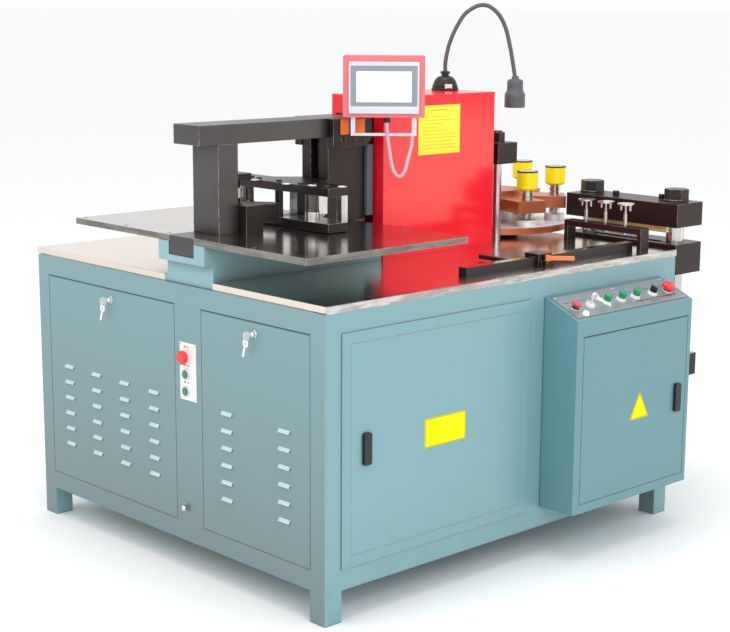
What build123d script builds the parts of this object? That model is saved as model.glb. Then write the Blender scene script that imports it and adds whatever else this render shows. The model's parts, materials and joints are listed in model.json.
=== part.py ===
from build123d import *
import math
import os

# Busbar processing machine: bending, punching and shearing units on one cabinet.
# Sizes are in millimetres. X runs to the right along the front, Y to the back, Z up,
# counted from the outer corner of the front left foot on the floor.

# Clearances
SLIDE_GAP = 0.3
FIT = 0.05
DOOR_GAP = 0.5

# Cabinet
CABINET_WIDTH = 1500.0
CABINET_DEPTH = 1370.0
LEG_SIZE = 60.0
LEG_WALL = 5.0
FOOT_PLATE = 8.0
SILL_BOTTOM = 90.0
SILL_HEIGHT = 59.0
SIDE_OPENING_HEIGHT = 638.0
TOP_RAIL_HEIGHT = 63.0
RAIL_WALL = 4.0
SKIN = 3.0
SHEET = 2.0
MID_POST_Y = 523.0
MID_POST_WIDTH = 129.0
SILL_TOP = SILL_BOTTOM + SILL_HEIGHT
RAIL_BOTTOM = SILL_TOP + SIDE_OPENING_HEIGHT
CABINET_TOP = RAIL_BOTTOM + TOP_RAIL_HEIGHT

# Worktop
WORKTOP_THICK = 20.0
WORKTOP_LEFT = 8.0
WORKTOP_RIGHT_OVERHANG = 6.0
WORKTOP_REAR_OVERHANG = 15.0
WORK_Z = CABINET_TOP + WORKTOP_THICK

# Side panels, their louvres and locks
PANEL_FLANGE = 12.0
LOUVRE_WIDTH = 46.0
LOUVRE_HEIGHT = 10.0
LOUVRE_REACH = 6.0
LOUVRE_PITCH_Y = 150.0
LOUVRE_PITCH_Z = 50.0
LOUVRE_ROWS = 6
LOUVRE_TOP_Z = 505.0
FRONT_LOUVRE_Y = 163.0
FRONT_LOUVRE_STEP = 248.0
REAR_LOUVRE_Y = 756.0
LOCK_Z = 756.0
LOCK_FRONT_Y = 291.0
LOCK_REAR_Y = 974.0
LOCK_HOUSING_R = 12.0
LOCK_PLUG_R = 7.0
LOCK_DEPTH = 18.0
CAM_LENGTH = 48.0
CAM_WIDTH = 14.0
CAM_THICK = 3.0
KEY_LENGTH = 28.0

# White button plate on the left side
PLATE_Y0 = 548.5
PLATE_Y1 = 624.5
PLATE_Z0 = 516.0
PLATE_Z1 = 684.5
SIDE_BUTTON_Y = 594.0
SIDE_STOP_Z = 643.0
SIDE_UPPER_Z = 592.0
SIDE_LOWER_Z = 542.0

# Push buttons and their housings
HOUSING_R = 14.0
HOUSING_BACK = 32.0
HOUSING_PROUD = 6.0
PLUNGER_R = 11.2
PLUNGER_DEPTH = 12.0
BUTTON_PLATE = 1.5

# Tool box in the cabinet front
TOOL_X0 = 58.0
TOOL_X1 = 800.0
TOOL_Z0 = 149.0
TOOL_Z1 = 794.0
TOOL_RIM = 32.0
TOOL_DEPTH = 300.0
TOOL_LINER_INSET = 6.0
DOOR_THICK = 3.0
LATCH_WIDTH = 27.0
LATCH_HEIGHT = 88.0
LATCH_PROUD = 10.0
LATCH_SHAFT_R = 7.0
TOOL_LATCH_INSET = 54.5
TOOL_LATCH_Z = 469.5

# Control box
CONTROL_X0 = 864.0
CONTROL_WIDTH = 556.0
CONTROL_DEPTH = 128.0
CONTROL_Z0 = 152.0
CONTROL_FRONT_TOP = 739.0
CONTROL_WALL_TOP = 795.0
CONTROL_DOOR_X0 = 897.0
CONTROL_DOOR_X1 = 1400.0
CONTROL_DOOR_Z0 = 182.0
CONTROL_DOOR_Z1 = 684.0
CONTROL_LATCH_INSET = 44.0
CONTROL_LATCH_Z = 433.5
PANEL_PLATE_INSET = 12.0
PANEL_PLATE_TOP = 10.0
PANEL_PLATE_LENGTH = 119.0
PANEL_ROW = 82.0
RED_BUTTON_X = 912.0
KEY_SWITCH_X = 981.0
GREEN_X = 1057.0
GREEN_PITCH = 70.0
SELECTOR_X = 1282.0
STOP_X = 1358.0
LAMP_X = 924.0
LAMP_ROW = 116.0

# Bending unit
BEND_Y = 582.5
BEAM_WIDTH = 117.0
BEAM_HEIGHT = 56.0
BASE_WIDTH = 212.0
BASE_X0 = 8.0
BASE_LENGTH = 647.0
BASE_HEIGHT = 49.0
BASE_FLANGE = 18.0
BASE_FOOT_LENGTH = 120.0
BASE_FOOT_Y0 = 480.0
BASE_FOOT_Y1 = 703.0
BASE_OVERHANG = 30.0
SPINE_LENGTH = 445.0
SIDE_PLATE_HEIGHT = 38.0
SIDE_PLATE_LENGTH = 602.0
LOWER_BEAM_X0 = -20.0
BEAM_END = 627.0
UPRIGHT_X0 = 68.0
UPRIGHT_THICK = 70.0
UPRIGHT_HEIGHT = 255.0
UPPER_BEAM_X0 = 2.0
HEAD_LENGTH = 148.0
HEAD_SLOT_WIDTH = 40.0
HEAD_SLOT_DEPTH = 30.0
CHEEK_THICK = 28.0
CHEEK_LENGTH = 156.0
CHEEK_HEIGHT = 85.0
CHEEK_HOLE_R = 10.0
TABLE_THICK = 18.0
TABLE_LENGTH = 605.0
RIGHT_TABLE_WIDTH = 474.0
LEFT_TABLE_WIDTH = 474.0
FLANGE_Z = WORK_Z + BASE_HEIGHT
BEAM_Z = FLANGE_Z + BASE_FLANGE
TABLE_Z = BEAM_Z + BEAM_HEIGHT
UPPER_BEAM_Z = TABLE_Z + UPRIGHT_HEIGHT
UPPER_BEAM_TOP = UPPER_BEAM_Z + BEAM_HEIGHT

# Bending cylinder and ram
RAM_Z = TABLE_Z + 67.0
ROD_R = 30.0
BARREL_R = 55.0
BORE_R = 42.5
BARREL_LENGTH = 429.0
BARREL_END_WALL = 20.0
GLAND_LENGTH = 50.0
CYLINDER_FLANGE_THICK = 24.0
CYLINDER_FLANGE_WIDTH = 141.0
CYLINDER_FLANGE_HEIGHT = 214.0
RAM_STROKE = 100.0
PISTON_LENGTH = 40.0
DIE_FACE_X = 318.0
DIE_PLATE_LIFT = 3.0
DIE_PLATE_LOWER = 25.0
DIE_PLATE_UPPER = 24.0
DIE_PLATE_SPACE = 78.0
DIE_PLATE_REACH = 239.5
ROLLER_X = 338.0
ROLLER_OFFSET = 147.5
ROLLER_R = 15.0
ROLLER_COLLAR_R = 21.0
ROLLER_COLLAR_HEIGHT = 27.0
CENTRE_POST_R = 12.0
SPACER_POST = 23.0

# Fixed die on the upright
FIXED_DIE_X1 = 262.0
FIXED_DIE_WIDTH = 187.0
FIXED_DIE_FOOT = 29.0
FIXED_DIE_HEIGHT = 52.0
FIXED_DIE_FOOT_X1 = 200.0
MOUTH_HALF = 60.0
MOUTH_DEPTH = 32.0
DIE_SLOT_HALF = 20.0
DIE_SLOT_DEPTH = 54.0
DIE_PIN_R = 18.0
DIE_CAP_THICK = 17.0
DIE_CAP_TOP = 167.0

# Red cover over the bending cylinder
COVER_X0 = 660.0
COVER_LENGTH = 492.0
COVER_Y0 = 476.0
COVER_WIDTH = 232.0
COVER_HEIGHT = 492.0
COVER_OPENING_Y0 = 520.0
COVER_OPENING_Y1 = 690.0
COVER_OPENING_TOP = 434.0

# Touch screen on its swivel pin
SCREEN_ANGLE = -43.161
SWIVEL_X = 631.0
SWIVEL_Y = 447.0
SWIVEL_PIN_R = 8.0
LUG_THICK = 8.0
LUG_R = 16.0
SWIVEL_BLOCK_HEIGHT = 35.4
SWIVEL_LUG_Z = 442.0
HMI_WIDTH = 240.0
HMI_HEIGHT = 180.0
HMI_DEPTH = 55.0
HMI_STANDOFF = 22.7
HMI_BOTTOM = 439.0
HMI_FRAME_WIDTH = 205.0
HMI_FRAME_HEIGHT = 149.0
HMI_FRAME_BOTTOM = 12.0
HMI_FRAME_PROUD = 4.0
DISPLAY_WIDTH = 161.0
DISPLAY_HEIGHT = 89.0
DISPLAY_BOTTOM = 45.0
YOKE_HALF = 97.0
YOKE_LEG = 14.0
YOKE_DROP = 55.0
YOKE_BAR = 8.0
YOKE_DEPTH = 16.0
GLAND_R = 9.0
GLAND_DROP = 14.0
CABLE_R = 5.5
CABLE_OFFSET = 9.5
GLAND_INSET = 10.0

# Work lamp
LAMP_BASE_X = 1097.0
LAMP_BASE_Y = 645.0
LAMP_DISC_R = 42.0
LAMP_DISC_THICK = 8.0
LAMP_DOME_HEIGHT = 46.0
LAMP_FERRULE_R = 12.0
LAMP_FERRULE_TOP = 58.0
NECK_R = 7.0
HEAD_REACH = 228.0
HEAD_TOP = 34.0
SHADE_TOP = -5.0
SHADE_BOTTOM = -55.0
HEAD_R = 26.0
SHADE_R = 33.5

# Punching unit
PUNCH_X = 1221.0
PUNCH_Y = 725.0
PUNCH_BEAM_WIDTH = 92.0
PUNCH_BEAM_LENGTH = 496.0
PUNCH_BEAM_Z = 1127.0
PUNCH_BEAM_HEIGHT = 68.0
PUNCH_COLUMN_R = 14.5
PUNCH_COLUMN_SPAN = 408.0
PUNCH_NUT_FLATS = 40.0
PUNCH_NUT_HEIGHT = 32.0
PUNCH_LOWER_Z = 560.0
PUNCH_LOWER_HEIGHT = 50.0
PUNCH_ROD_R = 25.0
PUNCH_BARREL_R = 55.0
PUNCH_BARREL_BOTTOM = 660.0
PUNCH_PLATE_THICK = 30.0
ANVIL_THICK = 12.5
ANVIL_BOSS_R = 30.0

# Turret with six sprung punches
STATIONS = 6
STATION_R = 211.0
STATION_START = 14.0
DISC_R = 262.0
DISC_THICK = 22.0
DISC_GAP = 0.5
DIE_HOLDER_R = 35.0
DIE_HOLDER_HEIGHT = 20.0
DIE_BORE_R = 12.5
HUB_R = 55.0
STAR_Z = 950.0
STAR_THICK = 41.0
STAR_REACH = 246.0
STAR_ARM_HALF = 54.0
STAR_HUB_R = 92.0
STAR_HUB_HEIGHT = 19.0
SHAFT_R = 25.0
STRIPPER_R = 17.0
STRIPPER_HEIGHT = 15.0
PUNCH_NECK_R = 19.5
PUNCH_TIP_R = 11.0
PUNCH_GUIDE_DEPTH = 26.0
CUP_R = 34.5
CUP_Z = 1025.0
CUP_HEIGHT = 65.0
CUP_BAND = 9.0
CUP_CHAMFER = 8.0
PUNCH_STROKE = 20.0

# Shearing unit on the right side
SHEAR_WIDTH = 135.0
SHEAR_Y0 = 6.0
SHEAR_LENGTH = 457.0
SHEAR_BED_Z = 785.0
SHEAR_BED_TOP = 883.0
SHEAR_FLANGE = 10.0
SHEAR_FLANGE_Z0 = 740.0
SHEAR_HEAD_Z = 937.0
SHEAR_HEAD_HEIGHT = 76.0
SHEAR_COLUMN_R = 29.0
SHEAR_COLUMN_SPAN = 346.0
SHEAR_NUT_FLATS = 68.0
SHEAR_WASHER = 8.0
SHEAR_NUT_HEIGHT = 34.0
SHEAR_LOWER_Z = 441.0
SHEAR_LOWER_HEIGHT = 72.0
SHEAR_BARREL_R = 60.0
SHEAR_BARREL_BOTTOM = 560.0
SHEAR_ROD_R = 30.0
SHEAR_ROD_TOP = 700.0
BLADE_X0 = 18.3
BLADE_THICK = 31.7
BLADE_Y0 = 89.0
BLADE_LENGTH = 276.0
BLADE_HEIGHT = 21.0
BLADE_TIP_THICK = 16.0
BLADE_TIP_LENGTH = 35.0
BED_SLOT_DEPTH = 36.0

# Clamp bridge and its thumbscrews
CLAMP_X0 = 1393.0
CLAMP_WIDTH = 42.0
CLAMP_Y0 = 59.0
CLAMP_LENGTH = 314.0
CLAMP_LEG = 15.0
CLAMP_BAR_Z = 920.0
CLAMP_BAR_HEIGHT = 20.0
CLAMP_SCREWS = 3
CLAMP_SCREW_Y = 138.0
CLAMP_SCREW_PITCH = 80.0
SLEEVE_R = 6.5
PAD_R = 14.0
PAD_Z = 914.0
PAD_THICK = 4.0
STEM_R = 4.0
SLEEVE_TOP = 979.0
WHEEL_Z = 1008.0
WHEEL_R = 27.5
WHEEL_THICK = 5.0
PEG_R = 4.0
PEG_OFFSET = 18.0
PEG_DROP = 18.0

# Gauge rail, slider and clamping lever
RAIL_X0 = 622.0
RAIL_Y0 = 90.0
RAIL_WIDTH = 30.0
RAIL_HEIGHT = 25.0
SLIDER_X0 = 925.0
SLIDER_LENGTH = 60.0
SLIDER_FRONT = 10.0
SLIDER_BACK = 15.0
SLIDER_ROOF = 10.0
STOP_FOOT_REACH = 63.0
STOP_ARM_WIDTH = 13.0
STOP_ARM_END = 265.0
STOP_ARM_Z = 876.0
STOP_ARM_HEIGHT = 13.0
LUG_WIDTH = 30.0
LUG_REACH = 20.0
LEVER_HUB_R = 8.0
LEVER_LENGTH = 80.0
LEVER_TIP_R = 5.5
LEVER_HEIGHT = 17.0
LEVER_GAP = 0.3

# Hydraulic unit inside the cabinet
TANK_X0 = 70.0
TANK_Y0 = 545.0
TANK_LENGTH = 490.0
TANK_WIDTH = 695.0
TANK_HEIGHT = 330.0
TANK_WALL = 5.0
TANK_LID = 8.0
MOTOR_R = 110.0
MOTOR_HEIGHT = 240.0
DRAIN_Y = 601.0
DRAIN_Z = 193.0
DRAIN_R = 10.0


def box(x0, x1, y0, y1, z0, z1):
    """Block between two corners."""
    centre = Pos((x0 + x1) / 2, (y0 + y1) / 2, (z0 + z1) / 2)
    return centre * Box(x1 - x0, y1 - y0, z1 - z0)


def pin_z(x, y, z0, z1, radius):
    """Upright cylinder."""
    return Pos(x, y, (z0 + z1) / 2) * Cylinder(radius, z1 - z0)


def pin_x(x0, x1, y, z, radius):
    """Cylinder along X."""
    return Pos((x0 + x1) / 2, y, z) * Rot(0, 90, 0) * Cylinder(radius, x1 - x0)


def pin_y(x, y0, y1, z, radius):
    """Cylinder along Y."""
    return Pos(x, (y0 + y1) / 2, z) * Rot(90, 0, 0) * Cylinder(radius, y1 - y0)


def nut_z(x, y, z0, z1, flats):
    """Upright hexagon block, measured over its flats."""
    outline = RegularPolygon(flats / 2, 6, major_radius=False)
    return Pos(x, y, z0) * extrude(outline, z1 - z0)


def plate_z(points, z0, z1):
    """Flat plate with an outline in the XY plane."""
    outline = make_face(Polyline(*points, close=True))
    return Pos(0, 0, z0) * extrude(outline, z1 - z0)


def plate_x(points, x0, x1):
    """Flat plate with an outline in the YZ plane."""
    outline = make_face(Plane.YZ * Polyline(*points, close=True))
    return Pos(x0, 0, 0) * extrude(outline, x1 - x0, dir=(1, 0, 0))


def turned(points, x, y):
    """Turned piece about an upright axis, from (radius, height) points."""
    outline = make_face(Plane.XZ * Polyline(*points, close=True))
    return Pos(x, y, 0) * revolve(outline, Axis.Z)


def grouped(pieces):
    """Separate solids kept together as one sub-part."""
    return Compound([solid for piece in pieces for solid in piece.solids()])


def channel(x0, x1, y0, y1, z0, z1, open_side):
    """Rail of folded plate, open on one side: the outer block less its inside."""
    wall = RAIL_WALL
    lows = [x0, y0, z0 + wall]
    highs = [x1, y1, z1 - wall]
    axis = 0 if open_side in ("+x", "-x") else 1
    if open_side[0] == "+":
        lows[axis] += wall
        highs[axis] += 1
    else:
        highs[axis] -= wall
        lows[axis] -= 1
    inside = box(lows[0], highs[0], lows[1], highs[1], lows[2], highs[2])
    return box(x0, x1, y0, y1, z0, z1) - inside


# Cabinet


def cabinet_leg(x0, y0):
    """Square tube from the floor to the worktop with a welded foot plate."""
    x1 = x0 + LEG_SIZE
    y1 = y0 + LEG_SIZE
    wall = LEG_WALL
    hollow = box(x0 + wall, x1 - wall, y0 + wall, y1 - wall, FOOT_PLATE, CABINET_TOP + 1)
    return box(x0, x1, y0, y1, 0, CABINET_TOP) - hollow


def cabinet_frame():
    """Welded frame: legs, sills, top rails, middle post, floor and outer skins."""
    right = CABINET_WIDTH - LEG_SIZE
    rear = CABINET_DEPTH - LEG_SIZE
    frame = Part()
    for x0 in (0, right):
        for y0 in (0, rear):
            frame += cabinet_leg(x0, y0)
    for z0, z1 in ((SILL_BOTTOM, SILL_TOP), (RAIL_BOTTOM, CABINET_TOP)):
        frame += channel(LEG_SIZE, right, 0, LEG_SIZE, z0, z1, "+y")
        frame += channel(LEG_SIZE, right, rear, CABINET_DEPTH, z0, z1, "-y")
        frame += channel(0, LEG_SIZE, LEG_SIZE, rear, z0, z1, "+x")
        frame += channel(right, CABINET_WIDTH, LEG_SIZE, rear, z0, z1, "-x")
    post_y1 = MID_POST_Y + MID_POST_WIDTH
    post = box(0, LEG_SIZE, MID_POST_Y, post_y1, SILL_TOP, RAIL_BOTTOM)
    wall = RAIL_WALL
    post -= box(wall, LEG_SIZE + 1, MID_POST_Y + wall, post_y1 - wall, SILL_TOP, RAIL_BOTTOM)
    frame += post
    frame += box(LEG_SIZE, right, 0, SKIN, SILL_TOP, RAIL_BOTTOM)
    frame += box(LEG_SIZE, right, CABINET_DEPTH - SKIN, CABINET_DEPTH, SILL_TOP, RAIL_BOTTOM)
    frame += box(CABINET_WIDTH - SKIN, CABINET_WIDTH, LEG_SIZE, rear, SILL_TOP, RAIL_BOTTOM)
    frame += box(LEG_SIZE, right, LEG_SIZE, rear, SILL_TOP - SKIN, SILL_TOP)
    inset = TOOL_LINER_INSET
    frame -= box(
        TOOL_X0 + inset, TOOL_X1 - inset, -1, LEG_SIZE + 1, TOOL_Z0 + inset, TOOL_Z1 - inset
    )
    frame -= cam_pocket(LOCK_FRONT_Y)
    frame -= cam_pocket(LOCK_REAR_Y)
    for z in (SIDE_STOP_Z, SIDE_UPPER_Z, SIDE_LOWER_Z):
        frame -= pin_x(-1, wall + 1, SIDE_BUTTON_Y, z, HOUSING_R + SLIDE_GAP)
    frame -= pin_x(-1, wall + 1, DRAIN_Y, DRAIN_Z, DRAIN_R + SLIDE_GAP)
    return frame


def cam_pocket(lock_y):
    """Slot in the top rail's lower lip that a lock cam turns up into."""
    half = CAM_WIDTH / 2 + 3
    x0 = LOCK_DEPTH - 2
    x1 = LOCK_DEPTH + CAM_THICK + 4
    return box(x0, x1, lock_y - half, lock_y + CAM_LENGTH + 3, RAIL_BOTTOM - 1, RAIL_BOTTOM + RAIL_WALL + 1)


def worktop():
    """Thick plate with a notch for the bending base and holes for the columns."""
    x1 = CABINET_WIDTH + WORKTOP_RIGHT_OVERHANG
    y1 = CABINET_DEPTH + WORKTOP_REAR_OVERHANG
    plate = box(WORKTOP_LEFT, x1, 0, y1, CABINET_TOP, WORK_Z)
    notch_x1 = BASE_X0 + BASE_FOOT_LENGTH
    plate -= box(WORKTOP_LEFT - 1, notch_x1, BASE_FOOT_Y0, BASE_FOOT_Y1, CABINET_TOP - 1, WORK_Z + 1)
    for side in (-1, 1):
        y = PUNCH_Y + side * PUNCH_COLUMN_SPAN / 2
        plate -= pin_z(PUNCH_X, y, CABINET_TOP - 1, WORK_Z + 1, PUNCH_COLUMN_R + 4)
    plate -= pin_z(PUNCH_X, PUNCH_Y, CABINET_TOP - 1, WORK_Z + 1, ANVIL_BOSS_R + SLIDE_GAP)
    return plate


def louvre(y, z):
    """One pressed louvre: a sloping hood with its mouth at the bottom."""
    half = LOUVRE_WIDTH / 2
    wall = 1.2
    hood_outline = [(0, z + LOUVRE_HEIGHT), (-LOUVRE_REACH, z), (0, z)]
    void_outline = [(0, z + LOUVRE_HEIGHT - 2 * wall), (wall - LOUVRE_REACH, z), (0, z)]
    hood = side_prism(hood_outline, y - half, y + half)
    void = side_prism(void_outline, y - half + wall, y + half - wall)
    mouth = box(-0.01, SHEET + 1, y - half + wall, y + half - wall, z, z + LOUVRE_HEIGHT - 2 * wall)
    return hood, void, mouth


def side_prism(points, y0, y1):
    """Prism along Y with an outline in the XZ plane."""
    outline = make_face(Plane.XZ * Polyline(*points, close=True))
    return Pos(0, y0, 0) * extrude(outline, y1 - y0, dir=(0, 1, 0))


def side_panel(y0, y1, louvre_ys, lock_y):
    """Left side panel: sheet with two return flanges, louvres and a lock housing."""
    low_y = y0 + DOOR_GAP
    high_y = y1 - DOOR_GAP
    z0 = SILL_TOP + SLIDE_GAP
    z1 = RAIL_BOTTOM - DOOR_GAP
    panel = box(0, SHEET, low_y, high_y, z0, z1)
    panel += box(SHEET, SHEET + PANEL_FLANGE, low_y, low_y + SHEET, z0, z1)
    panel += box(SHEET, SHEET + PANEL_FLANGE, high_y - SHEET, high_y, z0, z1)
    for y in louvre_ys:
        for row in range(LOUVRE_ROWS):
            hood, void, mouth = louvre(y, LOUVRE_TOP_Z - row * LOUVRE_PITCH_Z)
            panel += hood
            panel -= void
            panel -= mouth
    panel += pin_x(-4, LOCK_DEPTH, lock_y, LOCK_Z, LOCK_HOUSING_R)
    panel -= pin_x(-5, LOCK_DEPTH + 1, lock_y, LOCK_Z, LOCK_PLUG_R + FIT)
    return panel


def left_panel_front():
    """Near panel of the left side."""
    ys = [FRONT_LOUVRE_Y, FRONT_LOUVRE_Y + FRONT_LOUVRE_STEP]
    return side_panel(LEG_SIZE, MID_POST_Y, ys, LOCK_FRONT_Y)


def left_panel_rear():
    """Far panel of the left side."""
    ys = [REAR_LOUVRE_Y + column * LOUVRE_PITCH_Y for column in range(4)]
    return side_panel(MID_POST_Y + MID_POST_WIDTH, CABINET_DEPTH - LEG_SIZE, ys, LOCK_REAR_Y)


def panel_lock(lock_y):
    """Lock plug with its key outside and its cam inside, turned clear of the rail."""
    lock = pin_x(-5, LOCK_DEPTH + CAM_THICK + SLIDE_GAP, lock_y, LOCK_Z, LOCK_PLUG_R)
    cam_x0 = LOCK_DEPTH + SLIDE_GAP
    half = CAM_WIDTH / 2
    lock += box(cam_x0, cam_x0 + CAM_THICK, lock_y, lock_y + CAM_LENGTH, LOCK_Z - half, LOCK_Z + half)
    lock += box(-5 - KEY_LENGTH / 2, -5, lock_y - 1, lock_y + 1, LOCK_Z - 4, LOCK_Z + 4)
    lock += pin_y(-5 - KEY_LENGTH * 0.7, lock_y - 1.2, lock_y + 1.2, LOCK_Z, 11)
    return lock


# Push buttons


def housing(gap_plane):
    """Button housing as a cup that passes through the plate it is fixed in."""
    cup = gap_plane * Pos(0, 0, (HOUSING_PROUD - HOUSING_BACK) / 2)
    cup = cup * Cylinder(HOUSING_R, HOUSING_PROUD + HOUSING_BACK)
    bore_top = HOUSING_PROUD + 1
    bore_bottom = -PLUNGER_DEPTH
    bore = gap_plane * Pos(0, 0, (bore_top + bore_bottom) / 2)
    bore = bore * Cylinder(PLUNGER_R + SLIDE_GAP, bore_top - bore_bottom)
    return cup, bore


def plunger(plane, top, head_radius=0.0, head_thick=0.0, travel=5.0):
    """Moving half of a push button, with a mushroom head where one is given."""
    bottom = travel + 1 - PLUNGER_DEPTH
    button = plane * Pos(0, 0, (top + bottom) / 2) * Cylinder(PLUNGER_R, top - bottom)
    if head_radius:
        head = Cylinder(head_radius, head_thick)
        head = fillet(head.edges().group_by(Axis.Z)[-1], head_thick * 0.45)
        button += plane * Pos(0, 0, top - head_thick / 2) * head
    return button


def side_plane(z):
    """Plane of the left side at one button, its normal pointing out."""
    return Plane(origin=(0, SIDE_BUTTON_Y, z), x_dir=(0, 1, 0), z_dir=(-1, 0, 0))


def side_button_plate():
    """White plate with three button housings on the middle post."""
    plate = box(-BUTTON_PLATE, 0, PLATE_Y0, PLATE_Y1, PLATE_Z0, PLATE_Z1)
    for z in (SIDE_STOP_Z, SIDE_UPPER_Z, SIDE_LOWER_Z):
        cup, bore = housing(side_plane(z))
        plate += cup
        plate -= bore
    return plate


def slope_plane(x, row):
    """Plane of the sloped panel at one button, its normal pointing out and up."""
    rise = CONTROL_WALL_TOP - CONTROL_FRONT_TOP
    length = math.hypot(CONTROL_DEPTH, rise)
    share = row / length
    origin = (x, -CONTROL_DEPTH * share, CONTROL_WALL_TOP - rise * share)
    normal = (0, -rise / length, CONTROL_DEPTH / length)
    return Plane(origin=origin, x_dir=(1, 0, 0), z_dir=normal)


def panel_places():
    """X of every button housing on the sloped panel, from left to right."""
    greens = [GREEN_X + step * GREEN_PITCH for step in range(3)]
    return [RED_BUTTON_X, KEY_SWITCH_X] + greens + [SELECTOR_X, STOP_X]


# Tool box


def tool_box():
    """Sheet box let into the cabinet front, with a flat rim around its door."""
    inset = TOOL_LINER_INSET
    x0 = TOOL_X0 + inset
    x1 = TOOL_X1 - inset
    z0 = TOOL_Z0 + inset
    z1 = TOOL_Z1 - inset
    liner = box(x0, x1, 0, TOOL_DEPTH, z0, z1)
    liner -= box(x0 + SHEET, x1 - SHEET, -1, TOOL_DEPTH - SHEET, z0 + SHEET, z1 - SHEET)
    rim = box(TOOL_X0, TOOL_X1, -DOOR_THICK, 0, TOOL_Z0, TOOL_Z1)
    edge = TOOL_RIM - DOOR_GAP
    rim -= box(TOOL_X0 + edge, TOOL_X1 - edge, -DOOR_THICK - 1, 1, TOOL_Z0 + edge, TOOL_Z1 - edge)
    return liner + rim


def tool_box_door():
    """Flat door in the rim of the tool box, with a hole for the latch shaft."""
    x0 = TOOL_X0 + TOOL_RIM
    x1 = TOOL_X1 - TOOL_RIM
    door = box(x0, x1, -DOOR_THICK, 0, TOOL_Z0 + TOOL_RIM, TOOL_Z1 - TOOL_RIM)
    latch_x = x0 + TOOL_LATCH_INSET
    return door - pin_y(latch_x, -DOOR_THICK - 1, 1, TOOL_LATCH_Z, LATCH_SHAFT_R + FIT)


def latch(x, z, front_y, door_thick, cam_reach):
    """Black latch: handle plate, shaft through the door and a cam behind it."""
    half_x = LATCH_WIDTH / 2
    half_z = LATCH_HEIGHT / 2
    back = front_y - SLIDE_GAP
    handle = box(x - half_x, x + half_x, back - LATCH_PROUD, back, z - half_z, z + half_z)
    handle = fillet(handle.edges().filter_by(Axis.Y), 5)
    cam_y = front_y + door_thick + 4
    shaft = pin_y(x, back - 1, cam_y + CAM_THICK, z, LATCH_SHAFT_R)
    half = CAM_WIDTH / 2
    cam = box(x - half, x + half, cam_y, cam_y + CAM_THICK, z - cam_reach, z)
    return handle + shaft + cam


def tool_box_latch():
    """Latch of the tool box, its cam hanging free of the rim."""
    x = TOOL_X0 + TOOL_RIM + TOOL_LATCH_INSET
    return latch(x, TOOL_LATCH_Z, -DOOR_THICK, DOOR_THICK, TOOL_LATCH_INSET + 12)


# Control box


def control_profile(inset):
    """Side outline of the control box, moved inwards by a wall thickness."""
    rise = CONTROL_WALL_TOP - CONTROL_FRONT_TOP
    slope = rise / CONTROL_DEPTH
    drop = inset * math.hypot(1, slope)
    front = -CONTROL_DEPTH + inset
    back = 1.0 if inset else 0.0
    front_top = CONTROL_WALL_TOP - drop + front * slope
    back_top = CONTROL_WALL_TOP - drop + back * slope
    bottom = CONTROL_Z0 + inset
    return [(back, bottom), (front, bottom), (front, front_top), (back, back_top)]


def control_box():
    """Sheet box on the cabinet front with a door opening and a sloped panel."""
    x1 = CONTROL_X0 + CONTROL_WIDTH
    case = plate_x(control_profile(0), CONTROL_X0, x1)
    case -= plate_x(control_profile(SHEET), CONTROL_X0 + SHEET, x1 - SHEET)
    gap = DOOR_GAP
    case -= box(
        CONTROL_DOOR_X0 - gap,
        CONTROL_DOOR_X1 + gap,
        -CONTROL_DEPTH - 1,
        -CONTROL_DEPTH + SHEET + 1,
        CONTROL_DOOR_Z0 - gap,
        CONTROL_DOOR_Z1 + gap,
    )
    for x in panel_places():
        hole = slope_plane(x, PANEL_ROW) * Cylinder(HOUSING_R + SLIDE_GAP, 4 * SHEET)
        case -= hole
    return case


def electrics():
    """Mounting plate with switchgear, on studs against the cabinet front."""
    x0 = CONTROL_X0 + 60
    x1 = CONTROL_X0 + CONTROL_WIDTH - 60
    z0 = CONTROL_Z0 + 70
    z1 = CONTROL_FRONT_TOP - 90
    gear = box(x0, x1, -21, -18, z0, z1)
    for x in (x0 + 15, x1 - 15):
        for z in (z0 + 15, z1 - 15):
            gear += pin_y(x, -18, 0, z, 5)
    for index in range(5):
        left = x0 + 30 + index * 75
        gear += box(left, left + 45, -85, -21, z1 - 110, z1 - 30)
    for index in range(3):
        left = x0 + 30 + index * 130
        gear += box(left, left + 90, -75, -21, z0 + 150, z0 + 240)
    gear += box(x0 + 30, x1 - 30, -60, -21, z0 + 50, z0 + 90)
    return gear


def control_panel_plate():
    """Grey plate on the slope with the button housings and the signal lamp."""
    x0 = CONTROL_X0 + PANEL_PLATE_INSET
    x1 = CONTROL_X0 + CONTROL_WIDTH - PANEL_PLATE_INSET
    middle = slope_plane((x0 + x1) / 2, PANEL_PLATE_TOP + PANEL_PLATE_LENGTH / 2)
    plate = middle * Pos(0, 0, BUTTON_PLATE / 2) * Box(x1 - x0, PANEL_PLATE_LENGTH, BUTTON_PLATE)
    for x in panel_places():
        cup, bore = housing(slope_plane(x, PANEL_ROW))
        plate += cup
        plate -= bore
    lamp = Cylinder(8, 8)
    lamp = fillet(lamp.edges().group_by(Axis.Z)[-1], 3)
    plate += slope_plane(LAMP_X, LAMP_ROW) * Pos(0, 0, BUTTON_PLATE + 4) * lamp
    return plate


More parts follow.
